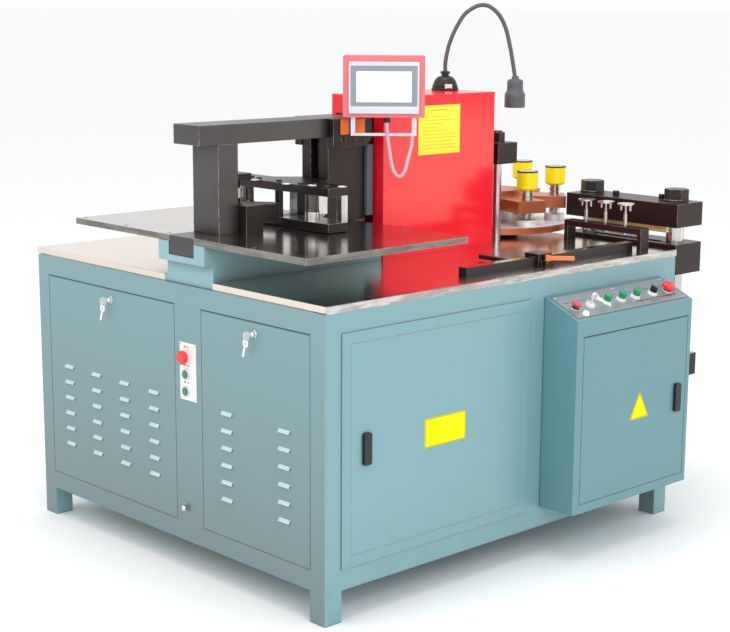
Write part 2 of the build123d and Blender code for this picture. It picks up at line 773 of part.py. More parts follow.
def control_box_door():
    """Door leaf with a folded rim on all sides and a hole for the latch shaft."""
    y0 = -CONTROL_DEPTH
    thick = SHEET
    leaf = box(CONTROL_DOOR_X0, CONTROL_DOOR_X1, y0, y0 + PANEL_FLANGE, CONTROL_DOOR_Z0, CONTROL_DOOR_Z1)
    leaf -= box(
        CONTROL_DOOR_X0 + thick,
        CONTROL_DOOR_X1 - thick,
        y0 + thick,
        y0 + PANEL_FLANGE + 1,
        CONTROL_DOOR_Z0 + thick,
        CONTROL_DOOR_Z1 - thick,
    )
    latch_x = CONTROL_DOOR_X1 - CONTROL_LATCH_INSET
    return leaf - pin_y(latch_x, y0 - 1, y0 + thick + 1, CONTROL_LATCH_Z, LATCH_SHAFT_R + FIT)


def control_box_latch():
    """Latch of the control box, its cam behind the door's folded rim."""
    x = CONTROL_DOOR_X1 - CONTROL_LATCH_INSET
    return latch(x, CONTROL_LATCH_Z, -CONTROL_DEPTH, PANEL_FLANGE, CONTROL_LATCH_INSET + 12)


def key_switch():
    """Turning barrel of the key switch with its key standing in it."""
    plane = slope_plane(KEY_SWITCH_X, PANEL_ROW)
    switch = plane * Pos(0, 0, 0) * Cylinder(PLUNGER_R, 2 * (HOUSING_PROUD + 2))
    switch += plane * Pos(0, 0, 20) * Box(8, 2, 26)
    switch += plane * Pos(0, 0, 37) * Rot(90, 0, 0) * Cylinder(11, 2.4)
    return switch


def selector_switch():
    """Black selector with a raised grip bar."""
    plane = slope_plane(SELECTOR_X, PANEL_ROW)
    knob = plane * Pos(0, 0, 2) * Cylinder(PLUNGER_R, 20)
    grip = Box(9, 24, 16)
    grip = fillet(grip.edges().filter_by(Axis.Z), 3.5)
    return knob + plane * Pos(0, 0, 19) * grip


# Bending unit


def bending_y(side, offset):
    """Y of a place beside the bending unit's middle plane."""
    return BEND_Y + side * offset


def bending_base():
    """Welded base: notch foot, long box, flange plate, two side plates and a spine."""
    y0 = BEND_Y - BASE_WIDTH / 2
    y1 = BEND_Y + BASE_WIDTH / 2
    box_x1 = BASE_X0 + BASE_LENGTH
    base = box(BASE_X0, BASE_X0 + BASE_FOOT_LENGTH, BASE_FOOT_Y0, BASE_FOOT_Y1, CABINET_TOP, WORK_Z)
    base += box(BASE_X0, box_x1, y0, y1, WORK_Z, FLANGE_Z)
    base += box(BASE_X0 - BASE_OVERHANG, box_x1, y0, y1, FLANGE_Z, BEAM_Z)
    side_x1 = BASE_X0 - BASE_OVERHANG + SIDE_PLATE_LENGTH
    for low, high in ((y0, BEND_Y - BEAM_WIDTH / 2), (BEND_Y + BEAM_WIDTH / 2, y1)):
        base += box(BASE_X0 - BASE_OVERHANG, side_x1, low, high, BEAM_Z, BEAM_Z + SIDE_PLATE_HEIGHT)
    base += box(box_x1, box_x1 + SPINE_LENGTH, BEND_Y - 50, BEND_Y + 50, WORK_Z, FLANGE_Z)
    return base


def lower_tie_beam():
    """Long bar on the base that takes the bending force."""
    half = BEAM_WIDTH / 2
    return box(LOWER_BEAM_X0, BEAM_END, BEND_Y - half, BEND_Y + half, BEAM_Z, TABLE_Z)


def upper_tie_beam():
    """Long bar over the bending unit."""
    half = BEAM_WIDTH / 2
    return box(UPPER_BEAM_X0, BEAM_END, BEND_Y - half, BEND_Y + half, UPPER_BEAM_Z, UPPER_BEAM_TOP)


def outer_upright():
    """Block between the tie beams that carries the fixed die."""
    half = BEAM_WIDTH / 2
    x1 = UPRIGHT_X0 + UPRIGHT_THICK
    return box(UPRIGHT_X0, x1, BEND_Y - half, BEND_Y + half, TABLE_Z, UPPER_BEAM_Z)


def cylinder_head():
    """Block that guides the ram rod, with an upright slot in its face."""
    half = BEAM_WIDTH / 2
    x0 = BEAM_END - HEAD_LENGTH
    block = box(x0, BEAM_END, BEND_Y - half, BEND_Y + half, TABLE_Z, UPPER_BEAM_Z)
    slot = HEAD_SLOT_WIDTH / 2
    block -= box(x0 - 1, x0 + HEAD_SLOT_DEPTH, BEND_Y - slot, BEND_Y + slot, TABLE_Z - 1, UPPER_BEAM_Z + 1)
    return block - pin_x(x0 - 1, BEAM_END + 1, BEND_Y, RAM_Z, ROD_R + FIT)


def cheek_plates():
    """Plate on each side that bolts the upper beam to the head block."""
    plates = []
    x1 = BEAM_END + 4
    x0 = x1 - CHEEK_LENGTH
    z1 = UPPER_BEAM_TOP - 1
    z0 = z1 - CHEEK_HEIGHT
    for side in (-1, 1):
        inner = bending_y(side, BEAM_WIDTH / 2)
        outer = bending_y(side, BEAM_WIDTH / 2 + CHEEK_THICK)
        outline = [(x0, z0), (x1 - 22, z0), (x1, z0 + 22), (x1, z1), (x0, z1)]
        plate = side_prism(outline, min(inner, outer), max(inner, outer))
        for step in (-1, 0, 1):
            x = (x0 + x1) / 2 + step * CHEEK_LENGTH / 4
            plate -= pin_y(x, outer - 10, outer + 10, z0 + 24, CHEEK_HOLE_R)
        plates.append(plate)
    return grouped(plates)


def bending_cylinder():
    """Hydraulic cylinder: mounting flange, hollow barrel, saddle and ports."""
    x0 = BEAM_END
    flange_x1 = x0 + CYLINDER_FLANGE_THICK
    barrel_x1 = flange_x1 + BARREL_LENGTH
    half = CYLINDER_FLANGE_WIDTH / 2
    flange_z0 = RAM_Z - BARREL_R
    flange_z1 = flange_z0 + CYLINDER_FLANGE_HEIGHT
    cylinder = box(x0, flange_x1, BEND_Y - half, BEND_Y + half, flange_z0, flange_z1)
    cylinder += box(x0 + 3, flange_x1, BEND_Y - 35, BEND_Y + 35, BEAM_Z, flange_z0)
    cylinder += pin_x(flange_x1, barrel_x1, BEND_Y, RAM_Z, BARREL_R)
    saddle_x1 = barrel_x1 - 20
    cylinder += box(saddle_x1 - 40, saddle_x1, BEND_Y - 45, BEND_Y + 45, FLANGE_Z, RAM_Z)
    for x in (flange_x1 + GLAND_LENGTH + 25, barrel_x1 - 70):
        cylinder += pin_z(x, BEND_Y, RAM_Z + BARREL_R - 5, RAM_Z + BARREL_R + 25, 14)
    bore_x0 = x0 + GLAND_LENGTH
    cylinder -= pin_x(bore_x0, barrel_x1 - BARREL_END_WALL, BEND_Y, RAM_Z, BORE_R)
    return cylinder - pin_x(x0 - 1, bore_x0 + 1, BEND_Y, RAM_Z, ROD_R + FIT)


def die_plate_outline():
    """Plan of a ram die plate: a T with stepped wings, in order around the piece."""
    half = BEAM_WIDTH / 2
    reach = DIE_PLATE_REACH
    wing = [(0, -reach), (73, -reach), (93, 22 - reach), (93, 127 - reach), (152, -half)]
    front = [(DIE_FACE_X + x, BEND_Y + y) for x, y in wing]
    back = [(DIE_FACE_X + x, BEND_Y - y) for x, y in reversed(wing)]
    return front + back


def bending_ram():
    """Ram with two die plates, rollers, posts, clevis block, rod and piston."""
    low_z = TABLE_Z + DIE_PLATE_LIFT
    space_z = low_z + DIE_PLATE_LOWER
    high_z = space_z + DIE_PLATE_SPACE
    top_z = high_z + DIE_PLATE_UPPER
    ram = plate_z(die_plate_outline(), low_z, space_z)
    ram += plate_z(die_plate_outline(), high_z, top_z)
    half = BEAM_WIDTH / 2
    head_x = BEAM_END - HEAD_LENGTH
    clevis_x0 = DIE_FACE_X + 110
    ram += box(clevis_x0, head_x - 2, BEND_Y - half, BEND_Y + half, low_z, top_z)
    for side in (-1, 1):
        y = bending_y(side, ROLLER_OFFSET)
        ram += pin_z(ROLLER_X, y, space_z, high_z, ROLLER_R)
        ram += pin_z(ROLLER_X, y, space_z, space_z + ROLLER_COLLAR_HEIGHT, ROLLER_COLLAR_R)
        post = bending_y(side, DIE_PLATE_REACH - SPACER_POST / 2)
        ram += Pos(DIE_FACE_X + 63, post, (space_z + high_z) / 2) * Box(
            SPACER_POST, SPACER_POST, DIE_PLATE_SPACE
        )
        pad_y = bending_y(side, DIE_PLATE_REACH - 100)
        pad_height = DIE_PLATE_LIFT - SLIDE_GAP
        ram += Pos(DIE_FACE_X + 46, pad_y, low_z - pad_height / 2) * Box(60, 80, pad_height)
    ram += pin_z(ROLLER_X, BEND_Y, space_z, high_z, CENTRE_POST_R)
    for dx, dy in ((27, -203), (32, -142), (22, -95), (20, 0), (22, 95), (32, 142), (27, 203)):
        ram += pin_z(DIE_FACE_X + dx, BEND_Y + dy, top_z, top_z + 5, 8)
    barrel_end = BEAM_END + CYLINDER_FLANGE_THICK + BARREL_LENGTH - BARREL_END_WALL
    piston_x0 = barrel_end - 20 - PISTON_LENGTH
    ram += pin_x(head_x - 10, piston_x0, BEND_Y, RAM_Z, ROD_R)
    ram += pin_x(piston_x0, piston_x0 + PISTON_LENGTH, BEND_Y, RAM_Z, BORE_R - FIT)
    return ram


def fixed_die():
    """Fixed die: foot, block with a V mouth and slot, pin with collar and cap."""
    x0 = UPRIGHT_X0 + UPRIGHT_THICK
    foot_z = TABLE_Z + FIXED_DIE_FOOT
    top_z = foot_z + FIXED_DIE_HEIGHT
    half = FIXED_DIE_WIDTH / 2
    slot_x = FIXED_DIE_X1 - DIE_SLOT_DEPTH
    throat_x = FIXED_DIE_X1 - MOUTH_DEPTH
    mouth = [(FIXED_DIE_X1, MOUTH_HALF), (throat_x, DIE_SLOT_HALF), (slot_x, DIE_SLOT_HALF)]
    outline = [(x0, BEND_Y - half), (FIXED_DIE_X1, BEND_Y - half)]
    outline += [(x, BEND_Y - y) for x, y in mouth]
    outline += [(x, BEND_Y + y) for x, y in reversed(mouth)]
    outline += [(FIXED_DIE_X1, BEND_Y + half), (x0, BEND_Y + half)]
    die = plate_z(outline, foot_z, top_z)
    die += box(x0, FIXED_DIE_FOOT_X1, BEND_Y - half, BEND_Y + half, TABLE_Z, foot_z)
    pin_x_place = x0 + 32
    cap_z1 = TABLE_Z + DIE_CAP_TOP
    cap_z0 = cap_z1 - DIE_CAP_THICK
    die += pin_z(pin_x_place, BEND_Y, top_z, cap_z0, DIE_PIN_R)
    die += pin_z(pin_x_place, BEND_Y, top_z + 14, top_z + 44, DIE_PIN_R + 6)
    die += box(x0, FIXED_DIE_FOOT_X1, BEND_Y - 42, BEND_Y + 42, cap_z0, cap_z1)
    return die


def right_table():
    """Ground plate on the near side of the bending unit."""
    y1 = BEND_Y - BEAM_WIDTH / 2
    x1 = LOWER_BEAM_X0 + TABLE_LENGTH
    return box(LOWER_BEAM_X0, x1, y1 - RIGHT_TABLE_WIDTH, y1, TABLE_Z - TABLE_THICK, TABLE_Z)


def left_table():
    """Ground plate on the far side of the bending unit."""
    y0 = BEND_Y + BEAM_WIDTH / 2
    x1 = LOWER_BEAM_X0 + TABLE_LENGTH
    return box(LOWER_BEAM_X0, x1, y0, y0 + LEFT_TABLE_WIDTH, TABLE_Z - TABLE_THICK, TABLE_Z)


def red_cover():
    """Folded cover, open below and towards the bending unit, with the screen's lugs."""
    x1 = COVER_X0 + COVER_LENGTH
    y1 = COVER_Y0 + COVER_WIDTH
    z1 = WORK_Z + COVER_HEIGHT
    cover = box(COVER_X0, x1, COVER_Y0, y1, WORK_Z, z1)
    cover -= box(COVER_X0 + SHEET, x1 - SHEET, COVER_Y0 + SHEET, y1 - SHEET, WORK_Z - 1, z1 - SHEET)
    cover -= box(
        COVER_X0 - 1,
        COVER_X0 + SHEET + 1,
        COVER_OPENING_Y0,
        COVER_OPENING_Y1,
        WORK_Z - 1,
        WORK_Z + COVER_OPENING_TOP,
    )
    low = WORK_Z + SWIVEL_LUG_Z - LUG_THICK
    high = WORK_Z + SWIVEL_LUG_Z + SWIVEL_BLOCK_HEIGHT + 2 * SLIDE_GAP
    top = high + LUG_THICK
    cover += box(COVER_X0 - 4, COVER_X0, COVER_Y0 - 4, COVER_Y0 + 30, low, top)
    cover += box(COVER_X0 - 4, COVER_X0 + 60, COVER_Y0 - 4, COVER_Y0, low, top)
    corner = math.hypot(COVER_X0 - SWIVEL_X, COVER_Y0 - SWIVEL_Y)
    turn = math.degrees(math.atan2(COVER_Y0 - SWIVEL_Y, COVER_X0 - SWIVEL_X))
    for z in (low, high):
        arm = Pos(corner / 2 - 1, 0, LUG_THICK / 2) * Box(corner - 4, 2 * LUG_R, LUG_THICK)
        lug = Pos(SWIVEL_X, SWIVEL_Y, z) * Rot(0, 0, turn) * arm
        cover += lug
        cover += pin_z(SWIVEL_X, SWIVEL_Y, z, z + LUG_THICK, LUG_R)
    cover += pin_z(SWIVEL_X, SWIVEL_Y, low, top, SWIVEL_PIN_R)
    return cover


# Touch screen


def screen_place():
    """Frame of the screen: origin on the swivel axis at worktop height."""
    return Pos(SWIVEL_X, SWIVEL_Y, WORK_Z) * Rot(0, 0, SCREEN_ANGLE)


def hmi_housing():
    """Screen housing with its front frame, U yoke, cable gland and swivel block."""
    back = -HMI_STANDOFF
    front = back - HMI_DEPTH
    half = HMI_WIDTH / 2
    z0 = HMI_BOTTOM
    z1 = z0 + HMI_HEIGHT
    case = box(-half, half, front, back, z0, z1)
    case = fillet(case.edges().filter_by(Axis.Y), 6)
    frame_z0 = z0 + HMI_FRAME_BOTTOM
    frame_half = HMI_FRAME_WIDTH / 2
    rim_y = front - HMI_FRAME_PROUD
    case += box(-frame_half, frame_half, rim_y, front, frame_z0, frame_z0 + HMI_FRAME_HEIGHT)
    shown_half = DISPLAY_WIDTH / 2
    shown_z0 = z0 + DISPLAY_BOTTOM
    case -= box(-shown_half, shown_half, rim_y - 1, rim_y + 3, shown_z0, shown_z0 + DISPLAY_HEIGHT)
    yoke_y0 = front + (HMI_DEPTH - YOKE_DEPTH) / 2
    yoke_y1 = yoke_y0 + YOKE_DEPTH
    bar_z = z0 - YOKE_DROP
    for x0 in (-YOKE_HALF, YOKE_HALF - YOKE_LEG):
        case += box(x0, x0 + YOKE_LEG, yoke_y0, yoke_y1, bar_z, z0)
    case += box(-YOKE_HALF, YOKE_HALF, yoke_y0, yoke_y1, bar_z, bar_z + YOKE_BAR)
    case += pin_z(CABLE_OFFSET, front + GLAND_INSET, z0 - GLAND_DROP, z0, GLAND_R)
    block_z0 = SWIVEL_LUG_Z + SLIDE_GAP
    block_z1 = block_z0 + SWIVEL_BLOCK_HEIGHT
    case += box(-LUG_R, LUG_R, back, 0, block_z0, block_z1)
    case += pin_z(0, 0, block_z0, block_z1, LUG_R)
    case -= pin_z(0, 0, block_z0 - 1, block_z1 + 1, SWIVEL_PIN_R + FIT)
    return screen_place() * case


def cable_route():
    """Hand-chosen points of the cable loop, in the screen's frame."""
    front = -HMI_STANDOFF - HMI_DEPTH
    gland_y = front + GLAND_INSET
    yoke_y = front + HMI_DEPTH / 2
    start = HMI_BOTTOM - GLAND_DROP
    end = HMI_BOTTOM - YOKE_DROP
    end_x = CABLE_OFFSET + 75
    return [
        (CABLE_OFFSET, gland_y, start),
        (CABLE_OFFSET, gland_y, start - 24),
        (13, gland_y, 372),
        (18, gland_y, 339),
        (23, gland_y, 305),
        (31, gland_y, 276),
        (48, gland_y + 1, 261),
        (63, gland_y + 3, 277),
        (70, gland_y + 7, 306),
        (77, gland_y + 12, 334),
        (end_x, yoke_y, end - 26),
        (end_x, yoke_y, end),
    ]


def corner_radii(points):
    """Largest fair radius at every inner point of a route."""
    radii = []
    for before, here, after in zip(points, points[1:], points[2:]):
        first = Vector(*here) - Vector(*before)
        second = Vector(*after) - Vector(*here)
        turn = math.radians(first.get_angle(second))
        radii.append(0.45 * min(first.length, second.length) / math.tan(turn / 2))
    return radii


def tube_along(points, radius):
    """Round tube of straight runs joined by tangent arcs."""
    radii = corner_radii(points)
    path = FilletPolyline(*points, radius=radii)
    start = Plane(origin=path @ 0, z_dir=path % 0)
    tube = sweep(start * Circle(radius), path)
    print("tube radii", [round(r) for r in radii])
    print("tube volume over section times length", tube.volume / (math.pi * radius**2 * path.length))
    return tube


def hmi_cable():
    """Cable loop that hangs from the gland and goes back into the yoke."""
    return screen_place() * tube_along(cable_route(), CABLE_R)


# Work lamp


def lamp_base():
    """Round foot with a domed top and a ferrule."""
    z0 = WORK_Z + COVER_HEIGHT
    disc_top = z0 + LAMP_DISC_THICK
    outline = [(0, z0), (LAMP_DISC_R, z0), (LAMP_DISC_R, disc_top)]
    steps = 6
    span = LAMP_DISC_R - 2 - LAMP_FERRULE_R
    for step in range(steps + 1):
        turn = math.pi / 2 * step / steps
        radius = LAMP_FERRULE_R + 2 + span * math.cos(turn)
        outline.append((radius - 2, disc_top + (LAMP_DOME_HEIGHT - LAMP_DISC_THICK) * math.sin(turn)))
    top = z0 + LAMP_FERRULE_TOP
    outline += [(LAMP_FERRULE_R, top), (0, top)]
    return turned(outline, LAMP_BASE_X, LAMP_BASE_Y)


def neck_route():
    """Points of the bent neck: distance from the foot's axis and height over the roof."""
    return [
        (0, LAMP_FERRULE_TOP),
        (0, 86),
        (5, 120),
        (14, 154),
        (33, 199),
        (58, 240),
        (84, 261),
        (112, 272),
        (141, 267),
        (172, 240),
        (194, 197),
        (210, 135),
        (221, 78),
        (HEAD_REACH, HEAD_TOP),
    ]


def lamp_neck():
    """Bent neck with the lamp head at its end."""
    roof = WORK_Z + COVER_HEIGHT
    points = [(reach, 0, roof + height) for reach, height in neck_route()]
    neck = tube_along(points, NECK_R)
    head_outline = [
        (0, roof + HEAD_TOP + 4),
        (12, roof + HEAD_TOP + 4),
        (HEAD_R - 3, roof + HEAD_TOP),
        (HEAD_R, roof + HEAD_TOP - 4),
        (HEAD_R, roof + SHADE_TOP),
        (SHADE_R - 4, roof + SHADE_TOP - 2),
        (SHADE_R, roof + SHADE_TOP - 8),
        (SHADE_R, roof + SHADE_BOTTOM),
        (SHADE_R - 3, roof + SHADE_BOTTOM),
        (SHADE_R - 3, roof + SHADE_BOTTOM + 3),
        (0, roof + SHADE_BOTTOM + 3),
    ]
    neck += turned(head_outline, HEAD_REACH, 0)
    return Pos(LAMP_BASE_X, LAMP_BASE_Y, 0) * Rot(0, 0, SCREEN_ANGLE) * neck


# Punching unit


def punch_columns():
    """Y of the two columns of the punching unit."""
    half = PUNCH_COLUMN_SPAN / 2
    return (PUNCH_Y - half, PUNCH_Y + half)


def punch_crosshead():
    """Crosshead, two columns with nuts, lower beam and the rod that pulls it down."""
    half_x = PUNCH_BEAM_WIDTH / 2
    half_y = PUNCH_BEAM_LENGTH / 2
    beam_top = PUNCH_BEAM_Z + PUNCH_BEAM_HEIGHT
    lower_top = PUNCH_LOWER_Z + PUNCH_LOWER_HEIGHT
    head = box(
        PUNCH_X - half_x, PUNCH_X + half_x, PUNCH_Y - half_y, PUNCH_Y + half_y, PUNCH_BEAM_Z, beam_top
    )
    head += box(
        PUNCH_X - 40, PUNCH_X + 40, PUNCH_Y - half_y, PUNCH_Y + half_y, PUNCH_LOWER_Z, lower_top
    )
    for y in punch_columns():
        head += pin_z(PUNCH_X, y, lower_top - 5, beam_top + PUNCH_NUT_HEIGHT + 5, PUNCH_COLUMN_R)
        head += nut_z(PUNCH_X, y, beam_top, beam_top + PUNCH_NUT_HEIGHT, PUNCH_NUT_FLATS)
    rod_top = PUNCH_BARREL_BOTTOM + 130
    return head + pin_z(PUNCH_X, PUNCH_Y, lower_top - 5, rod_top, PUNCH_ROD_R)


def punch_bed():
    """Bed of the punching unit: guide plate and cylinder below, anvil and shaft above."""
    half_y = PUNCH_BEAM_LENGTH / 2
    plate_z0 = CABINET_TOP - PUNCH_PLATE_THICK
    anvil_top = WORK_Z + ANVIL_THICK
    turret_x = PUNCH_X + STATION_R
    bed = box(PUNCH_X - 60, PUNCH_X + 60, PUNCH_Y - half_y, PUNCH_Y + half_y, plate_z0, CABINET_TOP)
    bed += pin_z(PUNCH_X, PUNCH_Y, PUNCH_BARREL_BOTTOM, plate_z0, PUNCH_BARREL_R)
    bed += pin_z(PUNCH_X, PUNCH_Y, CABINET_TOP - 5, WORK_Z + 5, ANVIL_BOSS_R)
    bed += box(PUNCH_X - 46, turret_x + 60, PUNCH_Y - 60, PUNCH_Y + 60, WORK_Z, anvil_top)
    star_top = STAR_Z + STAR_THICK + STAR_HUB_HEIGHT
    bed += pin_z(turret_x, PUNCH_Y, anvil_top - 5, star_top, SHAFT_R)
    for y in punch_columns():
        bed -= pin_z(PUNCH_X, y, plate_z0 - 1, CABINET_TOP + 1, PUNCH_COLUMN_R + FIT)
    bore_top = PUNCH_BARREL_BOTTOM + 140
    return bed - pin_z(PUNCH_X, PUNCH_Y, PUNCH_BARREL_BOTTOM - 1, bore_top, PUNCH_ROD_R + FIT)


def station_places():
    """Angle and centre of each turret station."""
    turret_x = PUNCH_X + STATION_R
    places = []
    for index in range(STATIONS):
        angle = math.radians(STATION_START + 360 / STATIONS * index)
        x = turret_x + STATION_R * math.cos(angle)
        places.append((x, PUNCH_Y + STATION_R * math.sin(angle)))
    return places


def turret():
    """Turret: die disc below, star plate above, joined by a hub on the shaft."""
    turret_x = PUNCH_X + STATION_R
    disc_z = WORK_Z + ANVIL_THICK + DISC_GAP
    disc_top = disc_z + DISC_THICK
    star_top = STAR_Z + STAR_THICK
    body = pin_z(turret_x, PUNCH_Y, disc_z, disc_top, DISC_R)
    body += pin_z(turret_x, PUNCH_Y, disc_top - 1, STAR_Z + 1, HUB_R)
    for index in range(STATIONS // 2):
        arm = Box(2 * STAR_REACH, 2 * STAR_ARM_HALF, STAR_THICK)
        place = Pos(turret_x, PUNCH_Y, STAR_Z + STAR_THICK / 2)
        body += place * Rot(0, 0, STATION_START + 360 / STATIONS * index) * arm
    body += pin_z(turret_x, PUNCH_Y, star_top - 1, star_top + STAR_HUB_HEIGHT, STAR_HUB_R)
    guide_z = star_top - PUNCH_GUIDE_DEPTH
    for x, y in station_places():
        body += pin_z(x, y, disc_top - 1, disc_top + DIE_HOLDER_HEIGHT, DIE_HOLDER_R)
        body += pin_z(x, y, STAR_Z - STRIPPER_HEIGHT, STAR_Z + 1, STRIPPER_R)
    for x, y in station_places():
        body -= pin_z(x, y, disc_z - 1, disc_top + DIE_HOLDER_HEIGHT + 1, DIE_BORE_R)
        body -= pin_z(x, y, guide_z, star_top + 1, PUNCH_NECK_R + FIT)
        body -= pin_z(x, y, STAR_Z - STRIPPER_HEIGHT - 1, guide_z + 1, PUNCH_TIP_R + FIT)
    return body - pin_z(turret_x, PUNCH_Y, disc_z - 1, star_top + STAR_HUB_HEIGHT + 1, SHAFT_R + FIT)


def punch(index):
    """One sprung punch: tip, neck and a cup with a chamfered foot and a raised rim."""
    x, y = station_places()[index]
    neck_z = STAR_Z + STAR_THICK - PUNCH_GUIDE_DEPTH + PUNCH_STROKE + 1
    tip_z = STAR_Z - STRIPPER_HEIGHT + 1
    cup_top = CUP_Z + CUP_HEIGHT
    outline = [
        (0, tip_z),
        (PUNCH_TIP_R, tip_z),
        (PUNCH_TIP_R, neck_z),
        (PUNCH_NECK_R, neck_z),
        (PUNCH_NECK_R, CUP_Z),
        (CUP_R - CUP_CHAMFER, CUP_Z),
        (CUP_R, CUP_Z + CUP_CHAMFER),
        (CUP_R, cup_top - CUP_BAND),
        (CUP_R - 2, cup_top - CUP_BAND),
        (CUP_R - 2, cup_top),
        (0, cup_top),
    ]
    return turned(outline, x, y)


# Shearing unit


def shear_column_ys():
    """Y of the two columns of the shearing unit."""
    middle = SHEAR_Y0 + SHEAR_LENGTH / 2
    return (middle - SHEAR_COLUMN_SPAN / 2, middle + SHEAR_COLUMN_SPAN / 2)


def shear_left():
    """X of the shearing unit's face beside the cabinet."""
    return CABINET_WIDTH + SHEAR_FLANGE


def shear_bed():
    """Bed block on the cabinet's side with its slot, cylinder and mounting flange."""
    x0 = shear_left()
    x1 = x0 + SHEAR_WIDTH
    y1 = SHEAR_Y0 + SHEAR_LENGTH
    middle_x = (x0 + x1) / 2
    middle_y = (SHEAR_Y0 + y1) / 2
    bed = box(x0, x1, SHEAR_Y0, y1, SHEAR_BED_Z, SHEAR_BED_TOP)
    bed += box(CABINET_WIDTH, x0 + 1, SHEAR_Y0, y1, SHEAR_FLANGE_Z0, CABINET_TOP - 1)
    bed += box(CABINET_WIDTH, x0 + 20, SHEAR_Y0 + 40, y1 - 40, SHEAR_FLANGE_Z0, SHEAR_BED_Z + 1)
    bed += pin_z(middle_x, middle_y, SHEAR_BARREL_BOTTOM, SHEAR_BED_Z + 1, SHEAR_BARREL_R)
    slot_z = SHEAR_BED_TOP - BED_SLOT_DEPTH
    blade_x0 = x0 + BLADE_X0 - SLIDE_GAP
    blade_x1 = blade_x0 + BLADE_THICK + 2 * SLIDE_GAP
    blade_y0 = SHEAR_Y0 + BLADE_Y0 - SLIDE_GAP
    blade_y1 = blade_y0 + BLADE_LENGTH + 2 * SLIDE_GAP
    bed -= box(blade_x0, blade_x1, blade_y0, blade_y1, slot_z, SHEAR_BED_TOP + 1)
    tip_y0 = blade_y0 - BLADE_TIP_LENGTH
    tip_x1 = blade_x0 + BLADE_TIP_THICK + 2 * SLIDE_GAP
    bed -= box(blade_x0, tip_x1, tip_y0, blade_y0 + 1, slot_z, SHEAR_BED_TOP + 1)
    for y in shear_column_ys():
        bed -= pin_z(middle_x, y, SHEAR_BED_Z - 1, SHEAR_BED_TOP + 1, SHEAR_COLUMN_R + FIT)
    bore_top = SHEAR_ROD_TOP + 10
    return bed - pin_z(middle_x, middle_y, SHEAR_BARREL_BOTTOM - 1, bore_top, SHEAR_ROD_R + FIT)


def shear_crosshead():
    """Crosshead with columns, washers, nuts and bolts, lower crosshead and rod."""
    x0 = shear_left()
    x1 = x0 + SHEAR_WIDTH
    y1 = SHEAR_Y0 + SHEAR_LENGTH
    middle_x = (x0 + x1) / 2
    middle_y = (SHEAR_Y0 + y1) / 2
    top = SHEAR_HEAD_Z + SHEAR_HEAD_HEIGHT
    lower_top = SHEAR_LOWER_Z + SHEAR_LOWER_HEIGHT
    head = box(x0, x1, SHEAR_Y0, y1, SHEAR_HEAD_Z, top)
    head += box(x0, x1, SHEAR_Y0, y1, SHEAR_LOWER_Z, lower_top)
    nut_z0 = top + SHEAR_WASHER
    nut_z1 = nut_z0 + SHEAR_NUT_HEIGHT
    for y in shear_column_ys():
        head += pin_z(middle_x, y, lower_top - 5, top + 1, SHEAR_COLUMN_R)
        head += pin_z(middle_x, y, top, nut_z0, SHEAR_NUT_FLATS / 2 + 7)
        head += nut_z(middle_x, y, nut_z0 - 1, nut_z1, SHEAR_NUT_FLATS)
    head += pin_z(x0 + 40, middle_y + 50.5, top, top + 18, 11)
    head += pin_z(x0 + 78, middle_y - 108.5, top, top + 18, 11)
    return head + pin_z(middle_x, middle_y, lower_top - 5, SHEAR_ROD_TOP, SHEAR_ROD_R)


def shear_blade():
    """Upper blade bolted under the crosshead, narrower beside the front column."""
    x0 = shear_left() + BLADE_X0
    y0 = SHEAR_Y0 + BLADE_Y0
    z0 = SHEAR_HEAD_Z - BLADE_HEIGHT
    blade = box(x0, x0 + BLADE_THICK, y0, y0 + BLADE_LENGTH, z0, SHEAR_HEAD_Z)
    return blade + box(x0, x0 + BLADE_TIP_THICK, y0 - BLADE_TIP_LENGTH, y0 + 1, z0, SHEAR_HEAD_Z)


# Clamp bridge


def clamp_places():
    """Y of each thumbscrew."""
    return [CLAMP_SCREW_Y + index * CLAMP_SCREW_PITCH for index in range(CLAMP_SCREWS)]


def clamp_bridge():
    """Bridge on the worktop that carries the thumbscrews."""
    x1 = CLAMP_X0 + CLAMP_WIDTH
    y1 = CLAMP_Y0 + CLAMP_LENGTH
    middle = CLAMP_X0 + CLAMP_WIDTH / 2
    bar_top = CLAMP_BAR_Z + CLAMP_BAR_HEIGHT
    bridge = box(CLAMP_X0, x1, CLAMP_Y0, y1, WORK_Z, bar_top)
    bridge -= box(
        CLAMP_X0 - 1, x1 + 1, CLAMP_Y0 + CLAMP_LEG, y1 - CLAMP_LEG, WORK_Z - 1, CLAMP_BAR_Z
    )
    for y in clamp_places():
        bridge -= pin_z(middle, y, CLAMP_BAR_Z - 1, bar_top + 1, SLEEVE_R + FIT)
    return bridge


def clamp_screw(y):
    """Thumbscrew: pad, sleeve, stem and a disc with two finger pegs."""
    x = CLAMP_X0 + CLAMP_WIDTH / 2
    wheel_top = WHEEL_Z + WHEEL_THICK
    outline = [
        (0, PAD_Z),
        (PAD_R, PAD_Z),
        (PAD_R, PAD_Z + PAD_THICK),
        (SLEEVE_R, PAD_Z + PAD_THICK),
        (SLEEVE_R, SLEEVE_TOP),
        (STEM_R, SLEEVE_TOP),
        (STEM_R, WHEEL_Z),
        (WHEEL_R, WHEEL_Z),
        (WHEEL_R, wheel_top),
        (0, wheel_top),
    ]
    screw = turned(outline, x, y)
    for side in (-1, 1):
        screw += pin_z(x, y + side * PEG_OFFSET, WHEEL_Z - PEG_DROP, WHEEL_Z + 1, PEG_R)
    return screw


# Gauge


def gauge_rail():
    """Flat rail along the front of the worktop."""
    return box(RAIL_X0, CLAMP_X0, RAIL_Y0, RAIL_Y0 + RAIL_WIDTH, WORK_Z, WORK_Z + RAIL_HEIGHT)


